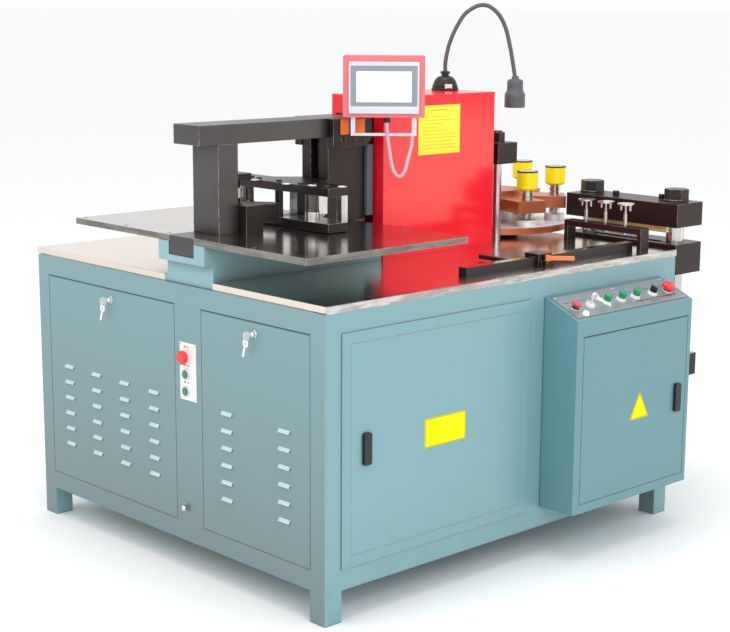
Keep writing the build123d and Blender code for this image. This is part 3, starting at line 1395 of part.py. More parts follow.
def gauge_slider():
    """Slider over the rail with its stop arm behind and a lug for the lever."""
    x1 = SLIDER_X0 + SLIDER_LENGTH
    y0 = RAIL_Y0 - SLIDER_FRONT
    y1 = RAIL_Y0 + RAIL_WIDTH + SLIDER_BACK
    z0 = WORK_Z + SLIDE_GAP
    z1 = WORK_Z + RAIL_HEIGHT + SLIDER_ROOF
    slider = box(SLIDER_X0, x1, y0, y1, z0, z1)
    slider -= box(
        SLIDER_X0 - 1,
        x1 + 1,
        RAIL_Y0 - SLIDE_GAP,
        RAIL_Y0 + RAIL_WIDTH + SLIDE_GAP,
        z0 - 1,
        WORK_Z + RAIL_HEIGHT + FIT,
    )
    arm_x0 = SLIDER_X0 - STOP_FOOT_REACH
    arm_top = STOP_ARM_Z + STOP_ARM_HEIGHT
    rail_back = RAIL_Y0 + RAIL_WIDTH
    slider += box(arm_x0, SLIDER_X0 + 1, rail_back + 2, y1, STOP_ARM_Z, arm_top)
    slider += box(arm_x0, arm_x0 + STOP_ARM_WIDTH, rail_back + 2, STOP_ARM_END, STOP_ARM_Z, arm_top)
    lug_x0 = SLIDER_X0 + (SLIDER_LENGTH - LUG_WIDTH) / 2
    lug_top = WORK_Z + SLIDER_FRONT + 3
    return slider + box(lug_x0, lug_x0 + LUG_WIDTH, y0 - LUG_REACH, y0 + 1, z0, lug_top)


def gauge_lever():
    """Tapered clamping lever on the slider's lug."""
    x = SLIDER_X0 + SLIDER_LENGTH / 2
    y = RAIL_Y0 - SLIDER_FRONT - LUG_REACH / 2 - 1
    z0 = WORK_Z + SLIDER_FRONT + 3 + LEVER_GAP
    hub = Pos(0, 0, LEVER_HEIGHT / 2) * Cylinder(LEVER_HUB_R, LEVER_HEIGHT)
    tip = Pos(LEVER_LENGTH - LEVER_TIP_R, 0, LEVER_HEIGHT / 2) * Cylinder(LEVER_TIP_R, LEVER_HEIGHT - 5)
    outline = [
        (0, -LEVER_HUB_R * 0.7),
        (LEVER_LENGTH - LEVER_TIP_R, -LEVER_TIP_R),
        (LEVER_LENGTH - LEVER_TIP_R, LEVER_TIP_R),
        (0, LEVER_HUB_R * 0.7),
    ]
    bar = plate_z(outline, 2.5, LEVER_HEIGHT - 2.5)
    return Pos(x, y, z0) * Rot(0, 0, -45) * (hub + bar + tip)


# Hydraulic unit


def hydraulic_unit():
    """Open oil tank with its drain plug, closed by a lid that carries motor and pump."""
    x1 = TANK_X0 + TANK_LENGTH
    y1 = TANK_Y0 + TANK_WIDTH
    z0 = SILL_TOP + SLIDE_GAP
    top = z0 + TANK_HEIGHT
    wall = TANK_WALL
    tank = box(TANK_X0, x1, TANK_Y0, y1, z0, top)
    tank -= box(TANK_X0 + wall, x1 - wall, TANK_Y0 + wall, y1 - wall, z0 + wall, top + 1)
    tank += pin_x(-7, TANK_X0 + 1, DRAIN_Y, DRAIN_Z, DRAIN_R)
    motor_z = top + TANK_LID
    lid = box(TANK_X0 - 6, x1 + 10, TANK_Y0 - 6, y1 + 10, top, motor_z)
    motor_x = TANK_X0 + TANK_LENGTH / 2
    motor_y = TANK_Y0 + TANK_WIDTH * 0.62
    lid += pin_z(motor_x, motor_y, motor_z, motor_z + 30, MOTOR_R + 20)
    lid += pin_z(motor_x, motor_y, motor_z, motor_z + MOTOR_HEIGHT, MOTOR_R)
    lid += box(motor_x - 60, motor_x + 60, TANK_Y0 + 60, TANK_Y0 + 200, motor_z, motor_z + 90)
    for step in range(3):
        lid += pin_y(motor_x - 40 + step * 40, TANK_Y0 + 30, TANK_Y0 + 60, motor_z + 55, 14)
    return grouped([tank, lid])


def all_parts():
    """Every sub-part by name."""
    parts = {
        "cabinet_frame": cabinet_frame(),
        "worktop": worktop(),
        "left_panel_front": left_panel_front(),
        "left_panel_rear": left_panel_rear(),
        "panel_lock_front": panel_lock(LOCK_FRONT_Y),
        "panel_lock_rear": panel_lock(LOCK_REAR_Y),
        "side_button_plate": side_button_plate(),
        "side_stop_button": plunger(side_plane(SIDE_STOP_Z), 26, 20, 14, travel=6),
        "side_button_upper": plunger(side_plane(SIDE_UPPER_Z), 10, travel=4),
        "side_button_lower": plunger(side_plane(SIDE_LOWER_Z), 10, travel=4),
        "tool_box": tool_box(),
        "tool_box_door": tool_box_door(),
        "tool_box_latch": tool_box_latch(),
        "control_box": grouped([control_box(), electrics()]),
        "control_panel_plate": control_panel_plate(),
        "control_box_door": control_box_door(),
        "control_box_latch": control_box_latch(),
        "red_button": plunger(slope_plane(RED_BUTTON_X, PANEL_ROW), 22, 20, 10, 5),
        "key_switch": key_switch(),
        "selector_switch": selector_switch(),
        "emergency_stop": plunger(slope_plane(STOP_X, PANEL_ROW), 28, 21, 13, 6),
        "bending_base": bending_base(),
        "lower_tie_beam": lower_tie_beam(),
        "upper_tie_beam": upper_tie_beam(),
        "outer_upright": outer_upright(),
        "cylinder_head": cylinder_head(),
        "cheek_plates": cheek_plates(),
        "bending_cylinder": bending_cylinder(),
        "bending_ram": bending_ram(),
        "fixed_die": fixed_die(),
        "right_table": right_table(),
        "left_table": left_table(),
        "red_cover": red_cover(),
        "hmi_housing": hmi_housing(),
        "hmi_cable": hmi_cable(),
        "lamp_base": lamp_base(),
        "lamp_neck": lamp_neck(),
        "punch_crosshead": punch_crosshead(),
        "punch_bed": punch_bed(),
        "turret": turret(),
        "shear_bed": shear_bed(),
        "shear_crosshead": shear_crosshead(),
        "shear_blade": shear_blade(),
        "clamp_bridge": clamp_bridge(),
        "gauge_rail": gauge_rail(),
        "gauge_slider": gauge_slider(),
        "gauge_lever": gauge_lever(),
        "hydraulic_unit": hydraulic_unit(),
    }
    for index, place in enumerate(("left", "middle", "right")):
        plane = slope_plane(GREEN_X + index * GREEN_PITCH, PANEL_ROW)
        parts["green_button_" + place] = plunger(plane, 24, travel=4)
    for index in range(STATIONS):
        parts[f"punch_{index + 1}"] = punch(index)
    for index, y in enumerate(clamp_places()):
        parts[f"clamp_screw_{index + 1}"] = clamp_screw(y)
    return parts


def export_all():
    """Move the machine's bottom centre to the origin and write each sub-part."""
    parts = all_parts()
    bounds = grouped(parts.values()).bounding_box()
    shift = Pos(-bounds.center().X, -bounds.center().Y, -bounds.min.Z)
    print("shift", -bounds.center().X, -bounds.center().Y, -bounds.min.Z)
    os.makedirs("parts", exist_ok=True)
    for name, part in parts.items():
        export_step(shift * part, f"parts/{name}.step")


export_all()
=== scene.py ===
"""Busbar processing machine: finishes, small pieces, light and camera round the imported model.

Sizes and places are in millimetres, counted as in the CAD source: X to the right along the
front, Y to the back and Z up from the outer corner of the front left foot. Machine.row turns
them into the frame's metres. Colours are written as they are seen, from 0 to 255.
"""

from __future__ import annotations

import json
import logging
import math
from dataclasses import dataclass, replace
from enum import Enum
from typing import Callable, Iterable, Sequence

import bmesh
import bpy
import numpy as np
from mathutils import Matrix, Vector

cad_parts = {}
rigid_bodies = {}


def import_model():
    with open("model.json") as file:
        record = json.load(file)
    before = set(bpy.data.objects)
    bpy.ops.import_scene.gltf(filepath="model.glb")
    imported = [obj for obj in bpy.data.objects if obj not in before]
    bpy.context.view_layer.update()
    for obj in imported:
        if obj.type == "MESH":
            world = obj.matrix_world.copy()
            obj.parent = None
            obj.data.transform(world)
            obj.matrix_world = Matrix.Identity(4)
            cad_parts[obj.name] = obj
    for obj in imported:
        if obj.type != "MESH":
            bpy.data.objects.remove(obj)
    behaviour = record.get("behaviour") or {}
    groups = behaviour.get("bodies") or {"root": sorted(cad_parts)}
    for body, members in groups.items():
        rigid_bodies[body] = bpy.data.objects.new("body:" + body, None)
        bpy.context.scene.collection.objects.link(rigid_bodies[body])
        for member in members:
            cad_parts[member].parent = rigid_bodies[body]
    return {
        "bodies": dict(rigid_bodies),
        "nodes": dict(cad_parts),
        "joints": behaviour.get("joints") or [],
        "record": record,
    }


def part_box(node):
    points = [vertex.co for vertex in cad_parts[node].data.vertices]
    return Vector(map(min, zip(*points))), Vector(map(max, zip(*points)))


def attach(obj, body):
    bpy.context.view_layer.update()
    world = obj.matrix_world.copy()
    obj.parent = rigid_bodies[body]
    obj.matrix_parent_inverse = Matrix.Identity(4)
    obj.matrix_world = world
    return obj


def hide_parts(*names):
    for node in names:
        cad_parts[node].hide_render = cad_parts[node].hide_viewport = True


LOG = logging.getLogger("busbar_machine")
MM = 1000.0
FULL_TURN = 2 * math.pi
PHOTO_WIDTH = 730
RAY_SAMPLES = 6
BUMP_DEPTH = 0.0006
DUSTY_ROUGHNESS = 0.6

Pair = tuple[float, float]
Triple = tuple[float, float, float]
Quad = tuple[float, float, float, float]
Outline = Sequence[Pair]
Rgb = tuple[int, int, int]
Socket = bpy.types.NodeSocket


# Shapes worked out as whole arrays


@dataclass
class Skin:
    """Vertices in millimetres and faces of one closed surface."""

    points: np.ndarray
    faces: list[list[int]]

    def moved(self, seat: Seat) -> Skin:
        """The same surface placed by a seat."""
        return Skin(seat.place(self.points), self.faces)


@dataclass(frozen=True)
class Seat:
    """A local frame: its origin and its three axes, in machine millimetres."""

    origin: Triple
    x: Triple = (1.0, 0.0, 0.0)
    y: Triple = (0.0, 1.0, 0.0)
    z: Triple = (0.0, 0.0, 1.0)

    def place(self, local: np.ndarray) -> np.ndarray:
        """Points given in this frame, as machine points: origin plus each share times its axis."""
        return np.asarray(self.origin) + np.asarray(local) @ np.array([self.x, self.y, self.z])

    def lifted(self, right: float, up: float, out: float = 0.0) -> Seat:
        """This frame with its origin moved along its own axes."""
        return Seat(tuple(self.place(np.array([right, up, out]))), self.x, self.y, self.z)


def ring_faces(rows: int, columns: int, joined: bool) -> np.ndarray:
    """Quads between successive rings of points, each ring closed on itself.

    Args:
        rows: number of rings.
        columns: points on a ring.
        joined: whether the last ring also meets the first.

    Returns:
        An array of four indices for each face, turning outwards for rings that turn to the left.
    """
    index = np.arange(rows * columns).reshape(rows, columns)
    low = index if joined else index[:-1]
    high = np.roll(index, -1, axis=0) if joined else index[1:]
    return np.stack([low, np.roll(low, -1, 1), np.roll(high, -1, 1), high], -1).reshape(-1, 4)


def capped(rings: np.ndarray) -> Skin:
    """Closed skin through rings of points, with a fan to the middle of the first and the last.

    Args:
        rings: an array of rings, points and coordinates.

    Returns:
        The skin, whose two poles are the means of its end rings.
    """
    rows, columns, _ = rings.shape
    poles = rings[[0, -1]].mean(axis=1)
    first = np.arange(columns)
    last = first + (rows - 1) * columns
    pole = np.full(columns, rows * columns)
    start = np.stack([np.roll(first, -1), first, pole], -1)
    end = np.stack([last, np.roll(last, -1), pole + 1], -1)
    faces = ring_faces(rows, columns, False).tolist() + start.tolist() + end.tolist()
    return Skin(np.concatenate([rings.reshape(-1, 3), poles]), faces)


def looped(rings: np.ndarray) -> Skin:
    """Closed skin through rings of points whose last ring meets the first, as on a torus."""
    rows, columns, _ = rings.shape
    return Skin(rings.reshape(-1, 3), ring_faces(rows, columns, True).tolist())


def turned(profile: Outline, steps: int) -> np.ndarray:
    """Rings of a turned shape: radius times the circle, at each height of the profile."""
    angle = np.linspace(0, FULL_TURN, steps, endpoint=False)
    circle = np.stack([np.cos(angle), np.sin(angle)], -1)
    radius, height = np.array(profile, float).T
    flat = radius[:, None, None] * circle[None]
    return np.concatenate([flat, np.broadcast_to(height[:, None, None], (*flat.shape[:2], 1))], -1)


def rounded_loop(width: float, height: float, corner: float, corner_steps: int = 6) -> np.ndarray:
    """Outline of a rectangle with round corners: each corner's centre plus a quarter circle."""
    corner = max(min(corner, width / 2 - 1e-3, height / 2 - 1e-3), 1e-3)
    turn = np.linspace(0, math.pi / 2, corner_steps)
    quarter = np.arange(4) * math.pi / 2
    angle = (quarter[:, None] + turn[None]).ravel()
    sign_x = np.repeat([1, -1, -1, 1], corner_steps)
    sign_y = np.repeat([1, 1, -1, -1], corner_steps)
    x = sign_x * (width / 2 - corner) + corner * np.cos(angle)
    y = sign_y * (height / 2 - corner) + corner * np.sin(angle)
    return np.stack([x, y], -1)


def lathed(profile: Outline, steps: int, seat: Seat) -> Skin:
    """A turned solid, drawn to a point at both ends of its profile."""
    return capped(turned(profile, steps)).moved(seat)


def lathed_ring(profile: Outline, steps: int, seat: Seat) -> Skin:
    """A turned ring, whose profile comes back to its start."""
    return looped(turned(profile, steps)).moved(seat)


def stacked(loops: Iterable[tuple[np.ndarray, float]]) -> np.ndarray:
    """Rings from flat outlines, each laid at its own height."""
    return np.stack([np.column_stack([loop, np.full(len(loop), z)]) for loop, z in loops])


def plate(
    width: float, height: float, corner: float, low: float, high: float, soft: float, seat: Seat
) -> Skin:
    """Plate with round corners and softened edges, from low to high along its seat's Z.

    The outline is drawn in by soft times one minus the sine of a quarter turn while the height
    rises by soft times one minus its cosine, at the bottom and, turned over, at the top.
    """
    turn = np.linspace(0, math.pi / 2, 4)
    inset = soft * (1 - np.sin(turn))
    rise = soft * (1 - np.cos(turn))
    insets = np.concatenate([inset, inset[::-1]])
    heights = np.concatenate([low + rise, high - rise[::-1]])
    loops = [rounded_loop(width - 2 * i, height - 2 * i, corner - i) for i in insets]
    return capped(stacked(zip(loops, heights))).moved(seat)


def surround(
    outer: Triple,
    inner: Triple,
    low: float,
    high: float,
    soft: float,
    seat: Seat,
    shift: Pair = (0.0, 0.0),
) -> Skin:
    """Flat frame round an opening, with its outer loop going up and its inner loop down.

    Args:
        outer: width, height and corner radius of the outer edge.
        inner: the same for the opening.
        low: the frame's back.
        high: the frame's front.
        soft: how far the front edges are eased.
        seat: where the frame's centre lies and where it looks.
        shift: where the opening's centre lies from the frame's.

    Returns:
        The frame as a closed surface.
    """
    move = np.array(shift)
    loops = [
        (rounded_loop(*outer), low),
        (rounded_loop(*outer), high - soft),
        (rounded_loop(outer[0] - 2 * soft, outer[1] - 2 * soft, outer[2]), high),
        (rounded_loop(inner[0] + 2 * soft, inner[1] + 2 * soft, inner[2]) + move, high),
        (rounded_loop(*inner) + move, high - soft),
        (rounded_loop(*inner) + move, low),
    ]
    return looped(stacked(loops)).moved(seat)


def torus(radius: float, thick: float, rings: int = 28, steps: int = 10) -> np.ndarray:
    """Rings of a torus: the great circle plus a small circle that leans with it."""
    big = np.linspace(0, FULL_TURN, rings, endpoint=False)[:, None]
    small = np.linspace(0, FULL_TURN, steps, endpoint=False)[None]
    reach = radius + thick * np.cos(small)
    height = np.broadcast_to(thick * np.sin(small), (rings, steps))
    return np.stack([reach * np.cos(big), reach * np.sin(big), height], -1)


def swept(path: np.ndarray, radius: np.ndarray, side: Triple, steps: int = 18) -> np.ndarray:
    """Rings of a tube: each path point plus its radius times a circle across the path.

    Args:
        path: points that the tube follows, in order.
        radius: its radius at each point, or at each point and each step round it.
        side: a direction that the path never runs along, which keeps the rings from twisting.
        steps: points on a ring.
    """
    along = np.gradient(path, axis=0)
    along /= np.linalg.norm(along, axis=1, keepdims=True)
    first = np.cross(np.asarray(side), along)
    first /= np.linalg.norm(first, axis=1, keepdims=True)
    second = np.cross(along, first)
    angle = np.linspace(0, FULL_TURN, steps, endpoint=False)[None, :, None]
    across = first[:, None] * np.cos(angle) + second[:, None] * np.sin(angle)
    reach = np.asarray(radius, float)
    reach = reach[:, None] if reach.ndim == 1 else reach
    return path[:, None] + reach[..., None] * across


def eased(points: Sequence[Triple], spans: int) -> np.ndarray:
    """Smooth line through given points: a Catmull-Rom spline, with spans steps to each gap."""
    given = np.asarray(points, float)
    padded = np.concatenate([[2 * given[0] - given[1]], given, [2 * given[-1] - given[-2]]])
    before, start, end, after = (padded[i : len(padded) - 3 + i] for i in range(4))
    t = np.linspace(0, 1, spans, endpoint=False)[None, :, None]
    before, start, end, after = (a[:, None] for a in (before, start, end, after))
    curve = 0.5 * (
        2 * start
        + (end - before) * t
        + (2 * before - 5 * start + 4 * end - after) * t**2
        + (3 * start - before - 3 * end + after) * t**3
    )
    return np.concatenate([curve.reshape(-1, 3), given[-1:]])


def walked(path: np.ndarray) -> np.ndarray:
    """Distance from the path's start to each of its points."""
    return np.concatenate([[0.0], np.cumsum(np.linalg.norm(np.diff(path, axis=0), axis=1))])


def evenly(path: np.ndarray, pitch: float) -> np.ndarray:
    """The same line with its points a pitch apart, each coordinate read off by distance."""
    distance = walked(path)
    wanted = np.linspace(0, distance[-1], int(distance[-1] / pitch) + 1)
    return np.stack([np.interp(wanted, distance, path[:, i]) for i in range(3)], -1)


def joined(skins: Iterable[Skin]) -> Skin:
    """Several skins as one, each skin's face indices counted on from those before it."""
    skins = list(skins)
    starts = np.cumsum([0] + [len(s.points) for s in skins[:-1]])
    faces = [[int(i + start) for i in face] for s, start in zip(skins, starts) for face in s.faces]
    return Skin(np.concatenate([s.points for s in skins]), faces)


# Shader effects, each a node group that more than one finish uses


def seen(rgb: Rgb) -> Quad:
    """A colour as it is seen, turned into the linear light that shaders use."""
    share = np.asarray(rgb, float) / 255
    linear = np.where(share <= 0.04045, share / 12.92, ((share + 0.055) / 1.055) ** 2.4)
    return (*(float(v) for v in linear), 1.0)


class Wiring:
    """Short ways to add nodes to a tree and to join them."""

    def __init__(self, tree: bpy.types.NodeTree) -> None:
        """Keeps the tree that the nodes go into."""
        self.tree = tree

    def put(self, socket: Socket, value: object) -> None:
        """Joins a socket to another, or sets its own value."""
        if isinstance(value, Socket):
            self.tree.links.new(value, socket)
        else:
            socket.default_value = value

    def add(self, kind: str, inputs: dict | None = None, **settings: object) -> bpy.types.Node:
        """Adds a node.

        Args:
            kind: the node's type.
            inputs: values or sockets for its inputs, by name or number.
            **settings: its own properties.

        Returns:
            The node.
        """
        node = self.tree.nodes.new(kind)
        for name, value in settings.items():
            setattr(node, name, value)
        for key, value in (inputs or {}).items():
            self.put(node.inputs[key], value)
        return node

    def maths(self, operation: str, *values: object) -> Socket:
        """Result of a sum on one to three numbers."""
        node = self.add("ShaderNodeMath", operation=operation)
        for socket, value in zip(node.inputs, values):
            self.put(socket, value)
        return node.outputs[0]

    def blend(self, share: object, first: object, second: object) -> Socket:
        """A number between two, by a share."""
        node = self.add("ShaderNodeMix", {0: share, 2: first, 3: second}, data_type="FLOAT")
        return node.outputs[0]

    def tint(self, share: object, first: object, second: object) -> Socket:
        """A colour between two, by a share."""
        node = self.add("ShaderNodeMix", {0: share, 6: first, 7: second}, data_type="RGBA")
        return node.outputs[2]

    def spread(
        self, value: object, low: float, high: float, start: float = 0.0, end: float = 1.0
    ) -> Socket:
        """A number stretched from one range onto another, and held inside it."""
        node = self.add("ShaderNodeMapRange", {0: value, 1: low, 2: high, 3: start, 4: end})
        return node.outputs[0]

    def noise(
        self, vector: Socket, scale: object, detail: float = 3.0, rough: float = 0.55
    ) -> Socket:
        """Soft random values between 0 and 1."""
        inputs = {"Vector": vector, "Scale": scale, "Detail": detail, "Roughness": rough}
        return self.add("ShaderNodeTexNoise", inputs).outputs[0]

    def place(self, stretch: Triple = (1.0, 1.0, 1.0)) -> Socket:
        """The surface point in object coordinates, stretched along the axes."""
        point = self.add("ShaderNodeTexCoord").outputs["Object"]
        if stretch == (1.0, 1.0, 1.0):
            return point
        return self.add("ShaderNodeMapping", {"Vector": point, "Scale": stretch}).outputs[0]

    def coordinate(self, axis: int) -> Socket:
        """One coordinate of the surface point, in frame millimetres."""
        return self.maths("MULTIPLY", self.parts(self.place())[axis], MM)

    def upward(self) -> Socket:
        """How far the face looks up: 1 for level faces, 0 for upright ones, -1 for undersides."""
        return self.parts(self.add("ShaderNodeNewGeometry").outputs["Normal"])[2]

    def parts(self, vector: Socket) -> tuple[Socket, Socket, Socket]:
        """A vector's three numbers."""
        node = self.add("ShaderNodeSeparateXYZ", {0: vector})
        return node.outputs[0], node.outputs[1], node.outputs[2]


class Effect(Enum):
    """The shader effects that finishes share."""

    CLOUDS = "uneven_colour"
    EDGES = "edge_wear_and_highlight_mask"
    DUST_AND_SHADE = "settled_dust_and_left_shade"
    STREAKS = "grinding_streaks"
    SHADE = "shaded_gaps"


@dataclass(frozen=True)
class Port:
    """A named input or output of an effect."""

    name: str
    start: object = None
    kind: str = "NodeSocketFloat"


class Effects:
    """Builds each effect's node group once and places it in materials."""

    def __init__(self) -> None:
        """Builds all the groups."""
        self.groups = {
            Effect.CLOUDS: self._clouds(),
            Effect.EDGES: self._edges(),
            Effect.DUST_AND_SHADE: self._dust_and_left_shade(),
            Effect.STREAKS: self._streaks(),
            Effect.SHADE: self._shade(),
        }

    def use(self, wiring: Wiring, effect: Effect, **inputs: object) -> dict[str, Socket]:
        """Places an effect in a material.

        Args:
            wiring: the material's wiring.
            effect: which effect.
            **inputs: its inputs, by name with underscores for spaces.

        Returns:
            Its outputs by name.
        """
        node = wiring.add("ShaderNodeGroup", node_tree=self.groups[effect])
        for name, value in inputs.items():
            wiring.put(node.inputs[name.replace("_", " ").capitalize()], value)
        return {socket.name: socket for socket in node.outputs}

    @staticmethod
    def _group(
        effect: Effect, inputs: Sequence[Port], outputs: Sequence[Port]
    ) -> tuple[Wiring, dict[str, Socket], dict[str, Socket]]:
        """An empty group with its named sockets, as its wiring, its inputs and its outputs."""
        tree = bpy.data.node_groups.new(effect.value, "ShaderNodeTree")
        for ports, way in ((inputs, "INPUT"), (outputs, "OUTPUT")):
            for port in ports:
                socket = tree.interface.new_socket(port.name, in_out=way, socket_type=port.kind)
                if port.start is not None:
                    socket.default_value = port.start
        wiring = Wiring(tree)
        entry = wiring.add("NodeGroupInput")
        leave = wiring.add("NodeGroupOutput")
        return wiring, {s.name: s for s in entry.outputs}, {s.name: s for s in leave.inputs}

    def _clouds(self) -> bpy.types.NodeTree:
        """Colour made lighter and darker by two sizes of noise."""
        w, given, wanted = self._group(
            Effect.CLOUDS,
            [Port("Colour", kind="NodeSocketColor"), Port("Scale", 5.0), Port("Amount", 0.1)],
            [Port("Colour", kind="NodeSocketColor"), Port("Value")],
        )
        point = w.place()
        broad = w.noise(point, given["Scale"])
        fine = w.noise(point, w.maths("MULTIPLY", given["Scale"], 9.0), 5.0, 0.65)
        both = w.blend(0.35, broad, fine)
        centred = w.spread(both, 0.3, 0.7, -1.0, 1.0)
        value = w.maths("MULTIPLY_ADD", centred, given["Amount"], 1.0)
        shade = w.add("ShaderNodeHueSaturation", {"Color": given["Colour"], "Value": value})
        w.put(wanted["Colour"], shade.outputs[0])
        w.put(wanted["Value"], w.spread(both, 0.3, 0.7))
        return w.tree

    def _edges(self) -> bpy.types.NodeTree:
        """Mask of edge wear, on some finishes partly a painted highlight: where a rounded normal
        leaves the face's own, broken by noise.
        """
        w, given, wanted = self._group(
            Effect.EDGES,
            [Port("Radius", 0.002), Port("Breakup", 60.0), Port("Amount", 0.5)],
            [Port("Mask"), Port("Normal", kind="NodeSocketVector")],
        )
        bevel = w.add("ShaderNodeBevel", {"Radius": given["Radius"]}, samples=RAY_SAMPLES)
        rounded = bevel.outputs[0]
        own = w.add("ShaderNodeNewGeometry").outputs["Normal"]
        match = w.add("ShaderNodeVectorMath", {0: rounded, 1: own}, operation="DOT_PRODUCT")
        turn = w.spread(match.outputs["Value"], 0.995, 0.8)
        broken = w.noise(w.place(), given["Breakup"], 6.0, 0.7)
        edge_wear_and_highlight = w.spread(broken, 0.62, 0.42)
        w.put(wanted["Mask"], w.maths("MULTIPLY", w.maths("MULTIPLY", turn, edge_wear_and_highlight), given["Amount"]))
        w.put(wanted["Normal"], rounded)
        return w.tree

    def _dust_and_left_shade(self) -> bpy.types.NodeTree:
        """Mask of dust on ledges and low down on upright faces, and of painted shade on faces that
        look left, deeper lower down.
        """
        w, given, wanted = self._group(
            Effect.DUST_AND_SHADE,
            [Port("Amount", 0.3), Port("Low", 0.35), Port("Side", 0.0)],
            [Port("Mask")],
        )
        point = w.place()
        across, _, up = w.parts(w.add("ShaderNodeNewGeometry").outputs["Normal"])
        height = w.parts(point)[2]
        # Painted shade on faces that look left, deeper lower down.
        lower = w.spread(height, 0.85, 0.1, 0.36, 1.0)
        left = w.maths("MULTIPLY", w.spread(across, -0.6, -0.9), lower)
        ledge = w.spread(up, 0.6, 1.0, 0.0, 0.6)
        low = w.maths("SUBTRACT", 1.0, w.maths("DIVIDE", height, given["Low"]))
        splash = w.spread(low, 0.0, 1.0)
        patch = w.spread(w.noise(point, 14.0, 6.0, 0.7), 0.35, 0.75)
        both = w.maths("MULTIPLY", w.maths("MAXIMUM", ledge, splash), patch)
        near = w.maths("MULTIPLY", both, given["Amount"])
        w.put(wanted["Mask"], w.maths("MAXIMUM", near, w.maths("MULTIPLY", left, given["Side"])))
        return w.tree

    def _streaks(self) -> bpy.types.NodeTree:
        """Grinding marks: noise drawn out along one axis, with a few deeper strokes."""
        w, given, wanted = self._group(
            Effect.STREAKS,
            [Port("Stretch", (2.0, 90.0, 90.0), "NodeSocketVector"), Port("Scale", 6.0)],
            [Port("Value")],
        )
        factors = {0: w.place(), 1: given["Stretch"]}
        point = w.add("ShaderNodeVectorMath", factors, operation="MULTIPLY").outputs[0]
        fine = w.noise(point, given["Scale"], 6.0, 0.7)
        strokes = w.noise(point, w.maths("MULTIPLY", given["Scale"], 0.3), 2.0)
        w.put(wanted["Value"], w.blend(0.4, fine, w.spread(strokes, 0.42, 0.58)))
        return w.tree

    def _shade(self) -> bpy.types.NodeTree:
        """Mask of painted shade in each gap and inner corner, from how much of the sky near faces
        hide.
        """
        w, given, wanted = self._group(
            Effect.SHADE,
            [Port("Reach", 0.012), Port("Amount", 0.6)],
            [Port("Mask")],
        )
        reach = {"Distance": given["Reach"]}
        sky = w.add("ShaderNodeAmbientOcclusion", reach, samples=RAY_SAMPLES).outputs["AO"]
        hidden = w.spread(sky, 0.9, 0.35)
        w.put(wanted["Mask"], w.maths("MULTIPLY", hidden, given["Amount"]))
        return w.tree


# Finishes


@dataclass(frozen=True)
class Finish:
    """One finish of the machine, as seen colours and shader values."""

    name: str
    colour: Rgb
    roughness: float
    metal: float = 0.0
    clouds: float = 0.05
    cloud_scale: float = 5.0
    rough_spread: float = 0.05
    grain: float = 0.05
    grain_scale: float = 500.0
    streaks: float = 0.0
    stretch: Triple = (2.0, 90.0, 90.0)
    # Edge colour: edge wear, and on the cabinet paint partly a painted highlight on lips and edges.
    edge_wear_and_highlight: Rgb | None = None
    worn_roughness: float = 0.3
    edge_amount: float = 0.6
    edge: float = 1.2
    # Painted shade: colour drawn towards a dark colour in each gap and inner corner, within a reach
    # in millimetres.
    painted_shade: float = 0.0
    painted_shade_reach: float = 14.0
    painted_shade_colour: Rgb = (38, 50, 54)
    # Dust on ledges and low on faces, and painted shade on faces that look left, deeper lower down;
    # one colour serves both.
    dust: float = 0.0
    left_side_shade: float = 0.0
    dust_and_shade_colour: Rgb = (150, 145, 138)
    coat: float = 0.0
    coat_roughness: float = 0.1
    specular: float = 0.5
    glow: float = 0.0


@dataclass
class Layer:
    """What a finish gives the shader: colour, roughness, metal, normal and height."""

    colour: Socket
    roughness: Socket
    metal: object
    normal: Socket
    height: Socket
    grain: float


Mask = Callable[[Wiring], Socket]


